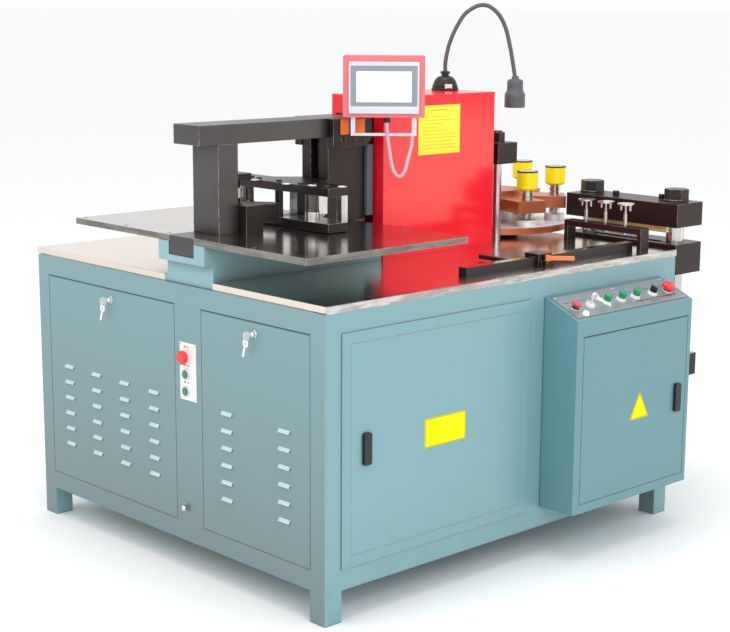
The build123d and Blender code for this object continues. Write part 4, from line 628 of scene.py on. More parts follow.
class Paintshop:
    """Makes materials from finishes and keeps them, so that each is made once."""

    def __init__(self) -> None:
        """Starts with the shared effects and no materials."""
        self.effects = Effects()
        self.made: dict[str, bpy.types.Material] = {}

    def _layer(self, w: Wiring, finish: Finish) -> Layer:
        """Lays one finish out in a tree: clouds, streaks, edge wear that is partly painted
        highlight on some finishes, painted shade, dust with painted shade on faces that look left,
        and grain.
        """
        clouds = self.effects.use(
            w, Effect.CLOUDS, colour=seen(
                finish.colour
            ), scale=finish.cloud_scale, amount=finish.clouds
        )
        colour, value = clouds["Colour"], clouds["Value"]
        low, high = finish.roughness - finish.rough_spread, finish.roughness + finish.rough_spread
        roughness = w.spread(value, 0.0, 1.0, low, high)
        height = w.noise(w.place(), finish.grain_scale, 4.0, 0.6)
        if finish.streaks:
            lines = self.effects.use(w, Effect.STREAKS, stretch=finish.stretch)["Value"]
            share = w.spread(lines, 0.3, 0.7, 1 - finish.streaks, 1 + finish.streaks)
            colour = w.add("ShaderNodeHueSaturation", {"Color": colour, "Value": share}).outputs[0]
            roughness = w.maths("MULTIPLY", roughness, share)
            height = w.blend(0.7, height, lines)
        edge_share = finish.edge_amount if finish.edge_wear_and_highlight else 0.0
        edges = self.effects.use(w, Effect.EDGES, radius=finish.edge / MM, amount=edge_share)
        metal: object = finish.metal
        # Edge colour: edge wear, on some finishes partly painted highlight.
        if finish.edge_wear_and_highlight:
            mask = edges["Mask"]
            colour = w.tint(mask, colour, seen(finish.edge_wear_and_highlight))
            roughness = w.blend(mask, roughness, finish.worn_roughness)
            metal = w.blend(mask, finish.metal, 1.0) if finish.metal < 1 else finish.metal
        # Painted shade in each gap and inner corner.
        if finish.painted_shade:
            hidden = self.effects.use(
                w, Effect.SHADE, reach=finish.painted_shade_reach / MM, amount=finish.painted_shade
            )["Mask"]
            colour = w.tint(hidden, colour, seen(finish.painted_shade_colour))
        # Dust, and painted shade on faces that look left.
        if finish.dust:
            dust_and_shade = self.effects.use(
                w, Effect.DUST_AND_SHADE, amount=finish.dust, side=finish.left_side_shade
            )["Mask"]
            colour = w.tint(dust_and_shade, colour, seen(finish.dust_and_shade_colour))
            roughness = w.blend(dust_and_shade, roughness, DUSTY_ROUGHNESS)
        return Layer(colour, roughness, metal, edges["Normal"], height, finish.grain)

    def _shade(
        self, name: str, finish: Finish, build: Callable[[Wiring], Layer]
    ) -> bpy.types.Material:
        """A material whose shader takes the built layer and the finish's plain values."""
        if name in self.made:
            return self.made[name]
        material = bpy.data.materials.new(name)
        material.use_nodes = True
        w = Wiring(material.node_tree)
        shader = material.node_tree.nodes["Principled BSDF"]
        layer = build(w)
        bumps = {
            "Strength": layer.grain,
            "Distance": BUMP_DEPTH,
            "Height": layer.height,
            "Normal": layer.normal,
        }
        for name_of_input, value in (
            ("Base Color", layer.colour),
            ("Roughness", layer.roughness),
            ("Metallic", layer.metal),
            ("Normal", w.add("ShaderNodeBump", bumps).outputs[0]),
            ("Specular IOR Level", finish.specular),
            ("Coat Weight", finish.coat),
            ("Coat Roughness", finish.coat_roughness),
        ):
            w.put(shader.inputs[name_of_input], value)
        if finish.glow:
            shader.inputs["Emission Color"].default_value = seen(finish.colour)
            shader.inputs["Emission Strength"].default_value = finish.glow
        self.made[name] = material
        return material

    def plain(self, finish: Finish) -> bpy.types.Material:
        """The material of one finish."""
        return self._shade(finish.name, finish, lambda w: self._layer(w, finish))

    def patched(
        self, name: str, base: Finish, patches: Sequence[tuple[Finish, Mask]]
    ) -> bpy.types.Material:
        """A material that changes from its base finish to others where their masks say.

        Args:
            name: the material's name.
            base: the finish everywhere else.
            patches: other finishes, each with its mask.

        Returns:
            The material.
        """

        def build(w: Wiring) -> Layer:
            """The base layer with each patch mixed over it."""
            whole = self._layer(w, base)
            for finish, mask in patches:
                top = self._layer(w, finish)
                share = mask(w)
                whole = Layer(
                    w.tint(share, whole.colour, top.colour),
                    w.blend(share, whole.roughness, top.roughness),
                    w.blend(share, whole.metal, top.metal),
                    whole.normal,
                    w.blend(share, whole.height, top.height),
                    whole.grain,
                )
            return whole

        return self._shade(name, base, build)


# Pale edges are partly painted highlight; the occlusion darkening and the darker faces that look
# left are painted shade.
CABINET_PAINT = Finish(
    "cabinet_paint", (122, 164, 171), 0.36, clouds=0.02, cloud_scale=2.2, grain=0.10,
    grain_scale=650.0, edge_wear_and_highlight=(200, 218, 218), worn_roughness=0.4, edge_amount=0.75, edge=1.1,
    dust=0.25, left_side_shade=0.75, dust_and_shade_colour=(104, 118, 119), coat=0.2, coat_roughness=0.22, painted_shade=0.8,
    painted_shade_reach=6.0,
)
# Lighter paint on louvre lips that lean up: a painted highlight.
LIT_LIP_PAINT = replace(
    CABINET_PAINT, name="louvre_lips_painted_highlight", colour=(188, 214, 216), left_side_shade=0.1, painted_shade=0.2,
)
# Darker copy of the cabinet paint for the control box: painted shade.
SHADED_CONTROL_PAINT = replace(
    CABINET_PAINT, name="control_box_painted_shade", colour=(98, 145, 153), left_side_shade=0.0,
)
BASE_PAINT = Finish(
    "base_paint", (132, 174, 182), 0.3, clouds=0.04, cloud_scale=5.0, grain=0.1, grain_scale=600.0,
    edge_wear_and_highlight=(208, 214, 212), edge_amount=0.7, edge=2.0, dust=0.25, coat=0.3, coat_roughness=0.2,
    painted_shade=0.7, painted_shade_reach=40.0,
)
RED_PAINT = Finish(
    "cover_red_paint", (255, 26, 46), 0.42, clouds=0.006, cloud_scale=1.2, rough_spread=0.02,
    grain=0.03, grain_scale=420.0, edge_wear_and_highlight=(255, 140, 140), worn_roughness=0.3, edge_amount=0.3,
    edge=1.2, coat=0.7, coat_roughness=0.13, specular=0.1, painted_shade=0.3, painted_shade_reach=10.0,
    painted_shade_colour=(120, 6, 16),
)
BLACK_OXIDE = Finish(
    "black_oxide", (54, 48, 47), 0.34, metal=0.7, clouds=0.14, cloud_scale=4.0, rough_spread=0.07,
    grain=0.14, grain_scale=420.0, edge_wear_and_highlight=(184, 174, 166), worn_roughness=0.28, edge_amount=1.0,
    edge=3.0, painted_shade=0.5, painted_shade_colour=(14, 13, 13),
)
TIE_STEEL = Finish(
    "browned_tie_steel", (86, 83, 82), 0.34, metal=0.65, clouds=0.2, cloud_scale=3.2,
    rough_spread=0.08, grain=0.16, grain_scale=380.0, edge_wear_and_highlight=(204, 196, 188), worn_roughness=0.28,
    edge_amount=1.0, edge=4.0, painted_shade=0.5, painted_shade_reach=30.0, painted_shade_colour=(18, 17, 17),
)
BRIGHT_STEEL = Finish(
    "bright_steel", (206, 206, 204), 0.2, metal=1.0, clouds=0.06, cloud_scale=20.0, grain=0.05,
    grain_scale=500.0, streaks=0.08, stretch=(90.0, 90.0, 4.0), edge=0.6,
)
WORKTOP_STEEL = Finish(
    "worktop_steel", (236, 224, 212), 0.2, metal=1.0, clouds=0.06, cloud_scale=1.6,
    rough_spread=0.05, grain=0.02, grain_scale=260.0, streaks=0.015, stretch=(1.5, 40.0, 40.0),
    edge_wear_and_highlight=(240, 238, 232), worn_roughness=0.22, edge_amount=0.9, edge=2.2,
)
CHIPPED_EDGE = Finish(
    "worktop_edge", (190, 187, 184), 0.34, metal=0.6, clouds=0.22, cloud_scale=9.0,
    rough_spread=0.1, grain=0.3, grain_scale=120.0, streaks=0.22, stretch=(5.0, 30.0, 44.0),
    edge=1.0,
)
TABLE_STEEL = Finish(
    "table_steel", (198, 190, 183), 0.17, metal=1.0, clouds=0.1, cloud_scale=3.0, rough_spread=0.06,
    grain=0.04, grain_scale=260.0, streaks=0.03, stretch=(30.0, 2.0, 30.0), edge_wear_and_highlight=(232, 228, 222),
    worn_roughness=0.25, edge_amount=0.9, edge=2.2,
)
TURRET_BROWN = Finish(
    "turret_brown", (196, 110, 72), 0.32, metal=0.6, clouds=0.12, cloud_scale=5.0,
    rough_spread=0.06, grain=0.1, grain_scale=420.0, edge_wear_and_highlight=(240, 206, 184), worn_roughness=0.25,
    edge_amount=0.85, edge=1.4,
)
YELLOW_ENAMEL = Finish(
    "spring_yellow", (255, 226, 0), 0.36, clouds=0.02, cloud_scale=18.0, grain=0.04,
    edge_wear_and_highlight=(200, 190, 120), edge_amount=0.3, edge=0.8, coat=0.15, coat_roughness=0.15, specular=0.2,
)
BLACK_PLASTIC = Finish(
    "black_plastic", (27, 28, 31), 0.4, clouds=0.06, grain=0.16, grain_scale=900.0, edge=0.8,
)
# Dark strips that stand for the shadow in each panel gap: painted shadow.
GAP_SHADOW = Finish("painted_gap_shadow", (22, 30, 33), 0.6, clouds=0.05, grain=0.1, edge=0.3)
BLACK_RING = Finish("black_rubber_ring", (30, 30, 32), 0.6, clouds=0.05, grain=0.1, edge=0.6)
RED_PLASTIC = Finish(
    "red_plastic", (240, 40, 44), 0.28, clouds=0.03, grain=0.04, edge=0.8, coat=0.5,
)
GREEN_PLASTIC = Finish(
    "green_plastic", (10, 150, 92), 0.18, clouds=0.04, grain=0.04, edge=0.8, coat=0.5,
)
DARK_GREEN = Finish(
    "dark_green_plastic", (22, 122, 80), 0.22, clouds=0.04, grain=0.04, edge=0.8, coat=0.5,
)
ORANGE_PLASTIC = Finish(
    "orange_plastic", (255, 128, 62), 0.34, clouds=0.05, grain=0.08, edge=0.8, coat=0.2,
)
WHITE_ENAMEL = Finish(
    "white_enamel", (236, 236, 232), 0.32, clouds=0.02, grain=0.04, edge=0.6, coat=0.3,
)
PANEL_GREY = Finish(
    "panel_grey", (150, 156, 160), 0.34, metal=0.35, clouds=0.04, cloud_scale=12.0, grain=0.05,
    streaks=0.05, stretch=(2.0, 120.0, 120.0), edge=0.5,
)
PLATED = Finish(
    "bright_plated", (224, 224, 222), 0.16, metal=1.0, clouds=0.05, cloud_scale=40.0, grain=0.03,
    edge=0.5,
)
PALE_BLADE = Finish(
    "blade_steel", (212, 218, 150), 0.3, metal=0.5, clouds=0.06, cloud_scale=16.0, grain=0.06,
    streaks=0.08, stretch=(80.0, 3.0, 80.0), edge=0.8,
)
SWITCHGEAR = Finish("switchgear_grey", (196, 198, 196), 0.45, clouds=0.04, grain=0.08, edge=1.0)
TANK_PAINT = Finish("tank_paint", (92, 110, 120), 0.4, clouds=0.05, grain=0.1, edge=1.2, dust=0.2)
# Red paint lightened to pink: a painted sheen.
HOUSING_RED_SHEEN = Finish(
    "housing_red", (226, 116, 121), 0.34, clouds=0.05, cloud_scale=12.0, grain=0.08,
    grain_scale=520.0, edge_wear_and_highlight=(232, 190, 188), edge_amount=0.4, edge=1.2, coat=0.3,
    coat_roughness=0.2,
)
LAMP_GREY = Finish(
    "lamp_grey", (88, 89, 94), 0.44, clouds=0.06, grain=0.12, grain_scale=700.0, edge=0.8,
)
SILVER_TRIM = Finish(
    "silver_trim", (222, 224, 228), 0.32, metal=0.55, clouds=0.02, grain=0.03, edge=0.5,
)
BEZEL_GREY = Finish("bezel_grey", (142, 150, 160), 0.42, clouds=0.02, grain=0.06, edge=0.5)
DISPLAY_WHITE = Finish(
    "display_white", (250, 252, 252), 0.12, clouds=0.01, grain=0.0, edge=0.3, glow=0.4,
)
PLATE_YELLOW = Finish(
    "plate_yellow", (250, 240, 8), 0.4, clouds=0.02, grain=0.05, edge=0.4, specular=0.1,
)
SHEET_YELLOW = Finish("sheet_yellow", (255, 246, 60), 0.4, clouds=0.02, grain=0.04, edge=0.4)
PLATE_ORANGE = Finish(
    "plate_orange", (255, 112, 6), 0.34, clouds=0.03, grain=0.05, edge=0.4, coat=0.2,
)
PRINT_DARK = Finish("print_dark", (70, 78, 70), 0.5, clouds=0.1, grain=0.0, edge=0.2)
PRINT_OLIVE = Finish("print_olive", (206, 196, 40), 0.5, clouds=0.1, grain=0.0, edge=0.2)
SPIRAL_GREY = Finish(
    "spiral_sheath", (206, 188, 194), 0.34, clouds=0.08, cloud_scale=30.0, grain=0.05, edge=0.4,
)
TABLE_EDGE = Finish(
    "table_edge", (128, 124, 118), 0.4, metal=0.7, clouds=0.2, cloud_scale=9.0, rough_spread=0.1,
    grain=0.2, grain_scale=140.0, streaks=0.2, stretch=(6.0, 6.0, 40.0), edge_wear_and_highlight=(226, 222, 214),
    edge_amount=0.95, edge=2.4,
)
# Dark finish on the tables' downward faces.
UNDERSIDE = Finish(
    "table_underside_dark", (46, 44, 43), 0.6, metal=0.3, clouds=0.2, cloud_scale=6.0, grain=0.2, edge=1.0,
)
DARK_RED = Finish("dark_red_lens", (206, 16, 40), 0.16, clouds=0.03, grain=0.03, edge=0.8, coat=0.8)
KEY_STEEL = Finish(
    "key_steel", (242, 242, 240), 0.24, metal=0.4, clouds=0.04, grain=0.04, edge=0.5, coat=0.4,
)
SATIN_STEEL = Finish(
    "satin_steel", (240, 240, 242), 0.34, metal=0.25, clouds=0.05, cloud_scale=12.0, grain=0.04,
    edge=0.6,
)
LENS_WHITE = Finish(
    "lens_white", (250, 250, 244), 0.12, clouds=0.02, grain=0.0, edge=0.3, coat=0.6, glow=0.15,
)
OIL_STEEL = Finish(
    "oiled_steel", (98, 92, 88), 0.24, metal=0.9, clouds=0.2, cloud_scale=14.0, rough_spread=0.1,
    grain=0.1, streaks=0.15, stretch=(40.0, 40.0, 6.0), edge_wear_and_highlight=(214, 206, 196), edge_amount=0.9,
    edge=1.4,
)


def between(axis: int, low: float, high: float, soft: float = 0.4) -> Mask:
    """Mask that is 1 where a coordinate lies between two millimetre values, with soft ends."""

    def build(w: Wiring) -> Socket:
        """Rises at the low value and falls at the high one."""
        value = w.coordinate(axis)
        rise = w.spread(value, low - soft, low + soft)
        fall = w.spread(value, high - soft, high + soft, 1.0, 0.0)
        return w.maths("MULTIPLY", rise, fall)

    return build


def facing_up() -> Mask:
    """Mask of faces that look up."""
    return lambda w: w.spread(w.upward(), 0.8, 0.9)


def facing_down() -> Mask:
    """Mask of faces that look down."""
    return lambda w: w.spread(w.upward(), -0.8, -0.9)


def leaning_up() -> Mask:
    """Mask of faces that lean upwards but aren't level."""

    def build(w: Wiring) -> Socket:
        """Stretches the upward share of the normal, and drops it again near level."""
        up = w.upward()
        return w.maths("MULTIPLY", w.spread(up, 0.05, 0.3), w.spread(up, 0.97, 0.9))

    return build


def upright() -> Mask:
    """Mask of faces that stand upright."""
    return lambda w: w.spread(w.maths("ABSOLUTE", w.upward()), 0.5, 0.3)


def beside(mask: Mask) -> Mask:
    """Mask of everything that another mask leaves out."""
    return lambda w: w.maths("SUBTRACT", 1.0, mask(w))


def both(first: Mask, second: Mask) -> Mask:
    """Mask where two masks overlap."""
    return lambda w: w.maths("MULTIPLY", first(w), second(w))


# The machine and the pieces that are added to it


class Machine:
    """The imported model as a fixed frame, with ways to add pieces to it."""

    def __init__(self) -> None:
        """Loads the frame and finds the CAD source's own zero point in it."""
        self.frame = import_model()
        self.datum = np.array(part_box("cabinet_frame")[0])
        self.paintshop = Paintshop()

    def row(self, points: np.ndarray | Sequence[float]) -> np.ndarray:
        """Machine millimetres as the frame's metres."""
        return np.asarray(points, float) / MM + self.datum

    def level(self, axis: int, value: float) -> float:
        """One machine coordinate as frame millimetres, for a mask."""
        return value + float(self.datum[axis]) * MM

    def box(self, node: str) -> tuple[np.ndarray, np.ndarray]:
        """Lowest and highest corner of a CAD node, in machine millimetres."""
        low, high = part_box(node)
        return (np.array(low) - self.datum) * MM, (np.array(high) - self.datum) * MM

    def dress(self, nodes: Iterable[str], material: bpy.types.Material) -> None:
        """Gives CAD nodes a material."""
        for name in nodes:
            node = self.frame["nodes"][name]
            if not node.material_slots:
                node.data.materials.append(material)
            for slot in node.material_slots:
                slot.material = material

    def add(
        self,
        name: str,
        skins: Iterable[Skin],
        material: bpy.types.Material | Finish,
        body: str,
        slot: str,
        replaces: Sequence[str] = (),
        sharp: float = 35.0,
    ) -> bpy.types.Object:
        """Makes one piece out of skins and rides it on a body.

        Args:
            name: the piece's name.
            skins: closed surfaces in machine millimetres.
            material: its finish, or a finished material.
            body: the CAD body that it moves with.
            slot: the record's material slot; not used.
            replaces: CAD nodes that it stands for.
            sharp: the angle in degrees past which an edge shows as an edge.

        Returns:
            The new object.
        """
        whole = joined(skins)
        mesh = bpy.data.meshes.new(name)
        mesh.from_pydata(self.row(whole.points).tolist(), [], whole.faces)
        cage = bmesh.new()
        cage.from_mesh(mesh)
        bmesh.ops.recalc_face_normals(cage, faces=cage.faces)
        cage.to_mesh(mesh)
        cage.free()
        mesh.shade_smooth()
        mesh.set_sharp_from_angle(angle=math.radians(sharp))
        if isinstance(material, Finish):
            material = self.paintshop.plain(material)
        mesh.materials.append(material)
        piece = bpy.data.objects.new(name, mesh)
        bpy.context.scene.collection.objects.link(piece)
        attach(piece, body)
        if replaces:
            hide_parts(*replaces)
        LOG.info("%s rides on %s with %d faces", name, body, len(mesh.polygons))
        return piece


FRONT = ((1.0, 0.0, 0.0), (0.0, 0.0, 1.0), (0.0, -1.0, 0.0))
LEFT = ((0.0, -1.0, 0.0), (0.0, 0.0, 1.0), (-1.0, 0.0, 0.0))


def front_seat(x: float, y: float, z: float) -> Seat:
    """A frame on a face that looks to the front: X right, Y up and Z out of it."""
    return Seat((x, y, z), *FRONT)


def left_seat(x: float, y: float, z: float) -> Seat:
    """A frame on a face that looks to the left: X towards the front, Y up and Z out of it."""
    return Seat((x, y, z), *LEFT)


PLAIN_FINISHES: tuple[tuple[Finish, tuple[str, ...]], ...] = (
    (CABINET_PAINT, ("cabinet_frame", "tool_box", "tool_box_door")),
    (SHADED_CONTROL_PAINT, ("control_box_door",)),
    (BASE_PAINT, ("bending_base",)),
    (RED_PAINT, ("red_cover",)),
    (
        BLACK_OXIDE,
        ("cylinder_head", "cheek_plates", "punch_bed", "shear_bed", "gauge_slider", "clamp_bridge"),
    ),
    (TIE_STEEL, ("lower_tie_beam", "upper_tie_beam", "outer_upright")),
    (PALE_BLADE, ("shear_blade",)),
    (ORANGE_PLASTIC, ("gauge_lever",)),
    (BRIGHT_STEEL, ("clamp_screw_1", "clamp_screw_2", "clamp_screw_3")),
    (KEY_STEEL, ("panel_lock_front", "panel_lock_rear", "key_switch")),
    (BLACK_PLASTIC, ("tool_box_latch", "control_box_latch", "selector_switch", "lamp_base")),
    (DARK_RED, ("red_button",)),
    (RED_PLASTIC, ("side_stop_button", "emergency_stop")),
    (GREEN_PLASTIC, ("green_button_left", "green_button_middle", "green_button_right")),
    (DARK_GREEN, ("side_button_upper", "side_button_lower")),
    (WHITE_ENAMEL, ("side_button_plate",)),
    (PANEL_GREY, ("control_panel_plate",)),
    (TANK_PAINT, ("hydraulic_unit", "bending_cylinder")),
)


@dataclass
class Body:
    """Finishes of the CAD nodes themselves."""

    machine: Machine
    edge_band: float = 7.0
    gear_x: Pair = (920.0, 1362.0)
    gear_y: Pair = (-95.0, -3.0)
    gear_z: Pair = (221.0, 651.0)
    ram_space: Pair = (1021.0, 1099.0)
    ram_plates_y: Pair = (558.5, 606.5)
    die_pin: Pair = (1088.0, 1118.0)
    punch_columns: Pair = (610.0, 1127.0)
    shear_columns: Pair = (513.0, 937.0)
    disc_face: Pair = (902.0, 908.0)
    die_holders: Pair = (905.5, 949.5)
    yoke: Pair = (0.0, 1308.5)

    def build(self) -> None:
        """Dresses every node that stays."""
        shop = self.machine.paintshop
        for finish, nodes in PLAIN_FINISHES:
            self.machine.dress(nodes, shop.plain(finish))
        self.machine.dress(["worktop"], self._worktop())
        for name, base, patches, nodes in self._mixed():
            self.machine.dress(nodes, shop.patched(name, base, patches))

    def _span(self, axis: int, ends: Pair) -> Mask:
        """Mask between two machine coordinates."""
        return between(axis, self.machine.level(axis, ends[0]), self.machine.level(axis, ends[1]))

    def _mixed(self) -> list[tuple[str, Finish, list[tuple[Finish, Mask]], tuple[str, ...]]]:
        """Materials of more than one finish: name, base finish, patches and nodes."""
        gear = both(self._span(1, self.gear_y), self._span(0, self.gear_x))
        gear = both(gear, self._span(2, self.gear_z))
        rollers = both(self._span(2, self.ram_space), beside(self._span(1, self.ram_plates_y)))
        disc = both(self._span(2, self.disc_face), facing_up())
        holders = self._span(2, self.die_holders)
        bright = BRIGHT_STEEL
        punch_columns = self._span(2, self.punch_columns)
        shear_columns = self._span(2, self.shear_columns)
        table = [(TABLE_EDGE, upright()), (UNDERSIDE, facing_down())]
        turret = [(SATIN_STEEL, disc), (SATIN_STEEL, holders)]
        panels = ("left_panel_front", "left_panel_rear")
        trim = [(SILVER_TRIM, self._span(2, self.yoke))]
        pin = [(bright, self._span(2, self.die_pin))]
        return [
            # Louvre lips that lean up get a lighter paint: a painted highlight.
            ("louvred_panel_paint_with_painted_highlight", CABINET_PAINT, [(LIT_LIP_PAINT, leaning_up())], panels),
            ("table_ground_steel", TABLE_STEEL, table, ("right_table", "left_table")),
            ("control_box_shell", SHADED_CONTROL_PAINT, [(SWITCHGEAR, gear)], ("control_box",)),
            ("ram_steel", BLACK_OXIDE, [(bright, rollers)], ("bending_ram",)),
            ("die_steel", BLACK_OXIDE, pin, ("fixed_die",)),
            ("punch_head_steel", BLACK_OXIDE, [(bright, punch_columns)], ("punch_crosshead",)),
            ("shear_head_steel", BLACK_OXIDE, [(bright, shear_columns)], ("shear_crosshead",)),
            ("turret_steel", TURRET_BROWN, turret, ("turret",)),
            ("rail_steel", BLACK_PLASTIC, [(TABLE_STEEL, facing_up())], ("gauge_rail",)),
            ("housing_paint_painted_sheen", HOUSING_RED_SHEEN, trim, ("hmi_housing",)),
        ]

    def _worktop(self) -> bpy.types.Material:
        """Ground steel whose front edge is chipped bright."""
        level = self.machine.level
        band = self.edge_band

        def chips(w: Wiring) -> Socket:
            """Nearness to the front edge, with a ragged inner border from noise."""
            y = w.coordinate(1)
            ragged = w.spread(
                w.noise(w.place((1.0, 1.4, 1.4)), 34.0, 7.0, 0.72), 0.3, 0.7, -band, band
            )
            return w.spread(
                w.maths("ADD", y, ragged), level(1, band - 0.6), level(1, band + 0.6), 1.0, 0.0
            )

        return self.machine.paintshop.patched(
            "worktop_ground_steel", WORKTOP_STEEL, [(CHIPPED_EDGE, chips)]
        )


@dataclass
class Fasteners:
    """Screws and bolts."""

    machine: Machine
    table_z: float = 993.0
    table_screw_r: float = 7.0
    table_screw_inset: Pair = (20.0, 24.0)
    cheek_y: Pair = (496.0, 669.0)
    cheek_z: float = 1242.0
    cheek_x: tuple[float, ...] = (514.0, 553.0, 592.0)
    bolt_r: float = 8.0
    sink: float = 6.0

    def build(self) -> None:
        """Builds all the visible screws."""
        self._tables()
        self._cheek_bolts()

    @staticmethod
    def _flat_head(seat: Seat, radius: float) -> Skin:
        """Countersunk head with a socket, flush with the face it sits in."""
        socket = radius * 0.45
        dip = radius * 0.1
        outline = [
            (radius * 0.5, -1.4), (radius, -0.6), (radius, 0.12), (radius - 0.5, 0.35),
            (socket + 0.3, 0.35), (socket, 0.1), (socket * 0.92, 0.3 - dip), (0.3, 0.2 - dip),
        ]
        return lathed(outline, 24, seat)

    def _tables(self) -> None:
        """Screws at the corners of both bending tables."""
        skins: list[Skin] = []
        inset_x, inset_y = self.table_screw_inset
        for name in ("right_table", "left_table"):
            low, high = self.machine.box(name)
            ys = (high[1] - inset_y, (low[1] + high[1]) / 2, low[1] + inset_y)
            for x in (low[0] + inset_x, high[0] - inset_x):
                for y in ys:
                    place = Seat((x, y, self.table_z))
                    skins.append(self._flat_head(place, self.table_screw_r))
        self.machine.add("table_screws", skins, OIL_STEEL, "cabinet", "bright_steel")

    def _cheek_bolts(self) -> None:
        """Socket bolts sunk in the holes of the cheek plates."""
        skins: list[Skin] = []
        outline = [
            (self.bolt_r, -self.sink), (self.bolt_r, -1.6), (self.bolt_r - 0.8, -0.8), (4.6, -0.8),
            (4.2, -1.2), (4.0, -4.8), (0.3, -5.0),
        ]
        for y, out in zip(self.cheek_y, (-1.0, 1.0)):
            for x in self.cheek_x:
                place = (x, y, self.cheek_z)
                seat = Seat(place, (-out, 0.0, 0.0), (0.0, 0.0, 1.0), (0.0, out, 0.0))
                skins.append(lathed(outline, 24, seat))
        self.machine.add("cheek_bolts", skins, BLACK_OXIDE, "cabinet", "black_oxide")


@dataclass
class DieSet:
    """Sleeves and discs of the bending dies, and the drain plug's cap."""

    machine: Machine
    ram_top: float = 1123.0
    roller: Pair = (338.0, 147.5)
    middle_y: float = 582.5
    sleeve_r: float = 20.5
    sleeve: Pair = (1048.5, 1098.5)
    disc_r: float = 13.0
    disc_places: tuple[Pair, ...] = (
        (338.0, -147.5), (338.0, 147.5), (381.0, -228.0), (381.0, 228.0), (306.0, -70.0),
        (306.0, 70.0),
    )
    drain: Triple = (-2.0, 601.0, 193.0)
    drain_r: float = 10.0

    def build(self) -> None:
        """Builds the sleeves and discs of the ram and the drain plug's cap."""
        low, high = self.sleeve
        r = self.sleeve_r
        sleeve = [
            (15.3, low), (r - 1, low), (r, low + 1), (r, low + 5), (r - 1.2, low + 6),
            (r - 1.2, high - 6), (r, high - 5), (r, high - 1), (r - 1, high), (15.3, high),
        ]
        x, offset = self.roller
        places = [Seat((x, self.middle_y + sign * offset, 0.0)) for sign in (-1, 1)]
        sleeves = [lathed_ring(sleeve, 40, place) for place in places]
        self.machine.add("roller_sleeves", sleeves, OIL_STEEL, "ram", "black_oxide")
        edge, top = self.disc_r, self.ram_top
        disc = [
            (edge - 1.0, top - 0.4), (edge, top), (edge, top + 1.0), (edge - 1.2, top + 2.0),
            (6.0, top + 2.2), (5.6, top + 1.2),
        ]
        discs = [
            lathed(disc, 40, Seat((dx, self.middle_y + dy, 0.0))) for dx, dy in self.disc_places
        ]
        self.machine.add("ram_discs", discs, SATIN_STEEL, "ram", "bright_steel")
        plug = [
            (6.0, -2.0), (self.drain_r + 1.5, -1.0), (self.drain_r + 1.5, 2.5), (7.0, 3.0),
            (6.6, 6.5), (8.6, 8.5), (9.2, 11.5), (8.4, 14.0), (5.6, 16.2), (0.8, 17.0),
        ]
        seat = left_seat(*self.drain)
        self.machine.add("drain_plug", [lathed(plug, 36, seat)], PLATED, "cabinet", "brass_lock")


@dataclass
class GapShadowLines:
    """Dark strips round the panels and doors that paint the shadow in their gap, widest along their
    tops.
    """

    machine: Machine
    gap: float = 2.0
    thin: float = 0.9
    top: float = 2.8
    proud: float = 0.35
    doors: tuple[tuple[str, bool, float], ...] = (
        ("left_panel_front", True, 0.0),
        ("left_panel_rear", True, 0.0),
        ("tool_box_door", False, 0.0),
        ("control_box_door", False, -128.0),
    )

    def build(self) -> None:
        """Builds one painted shadow line for each panel and door from its own box."""
        for node, left, face in self.doors:
            self._shadow_line(node, left, face)

    def _shadow_line(self, node: str, left: bool, face: float) -> None:
        """A dark frame just outside the gap: a painted shadow line.

        Args:
            node: the panel or door.
            left: whether it looks to the left and not to the front.
            face: where the face lies that it sits in.
        """
        low, high = self.machine.box(node)
        side = 1 if left else 0
        width = float(high[side] - low[side]) + 2 * self.gap
        height = float(high[2] - low[2]) + 2 * self.gap
        middle = float(low[side] + high[side]) / 2
        centre_z = float(low[2] + high[2]) / 2
        lift = (self.top - self.thin) / 2
        up = centre_z + lift
        seat = left_seat(face, middle, up) if left else front_seat(middle, face, up)
        outer = (width + 2 * self.thin, height + self.thin + self.top, 1.0)
        opening = (width, height, 0.6)
        frame = surround(outer, opening, -0.1, self.proud, 0.1, seat, (0.0, -lift))
        self.machine.add(f"{node}_shadow_line", [frame], GAP_SHADOW, "cabinet", "black_plastic")


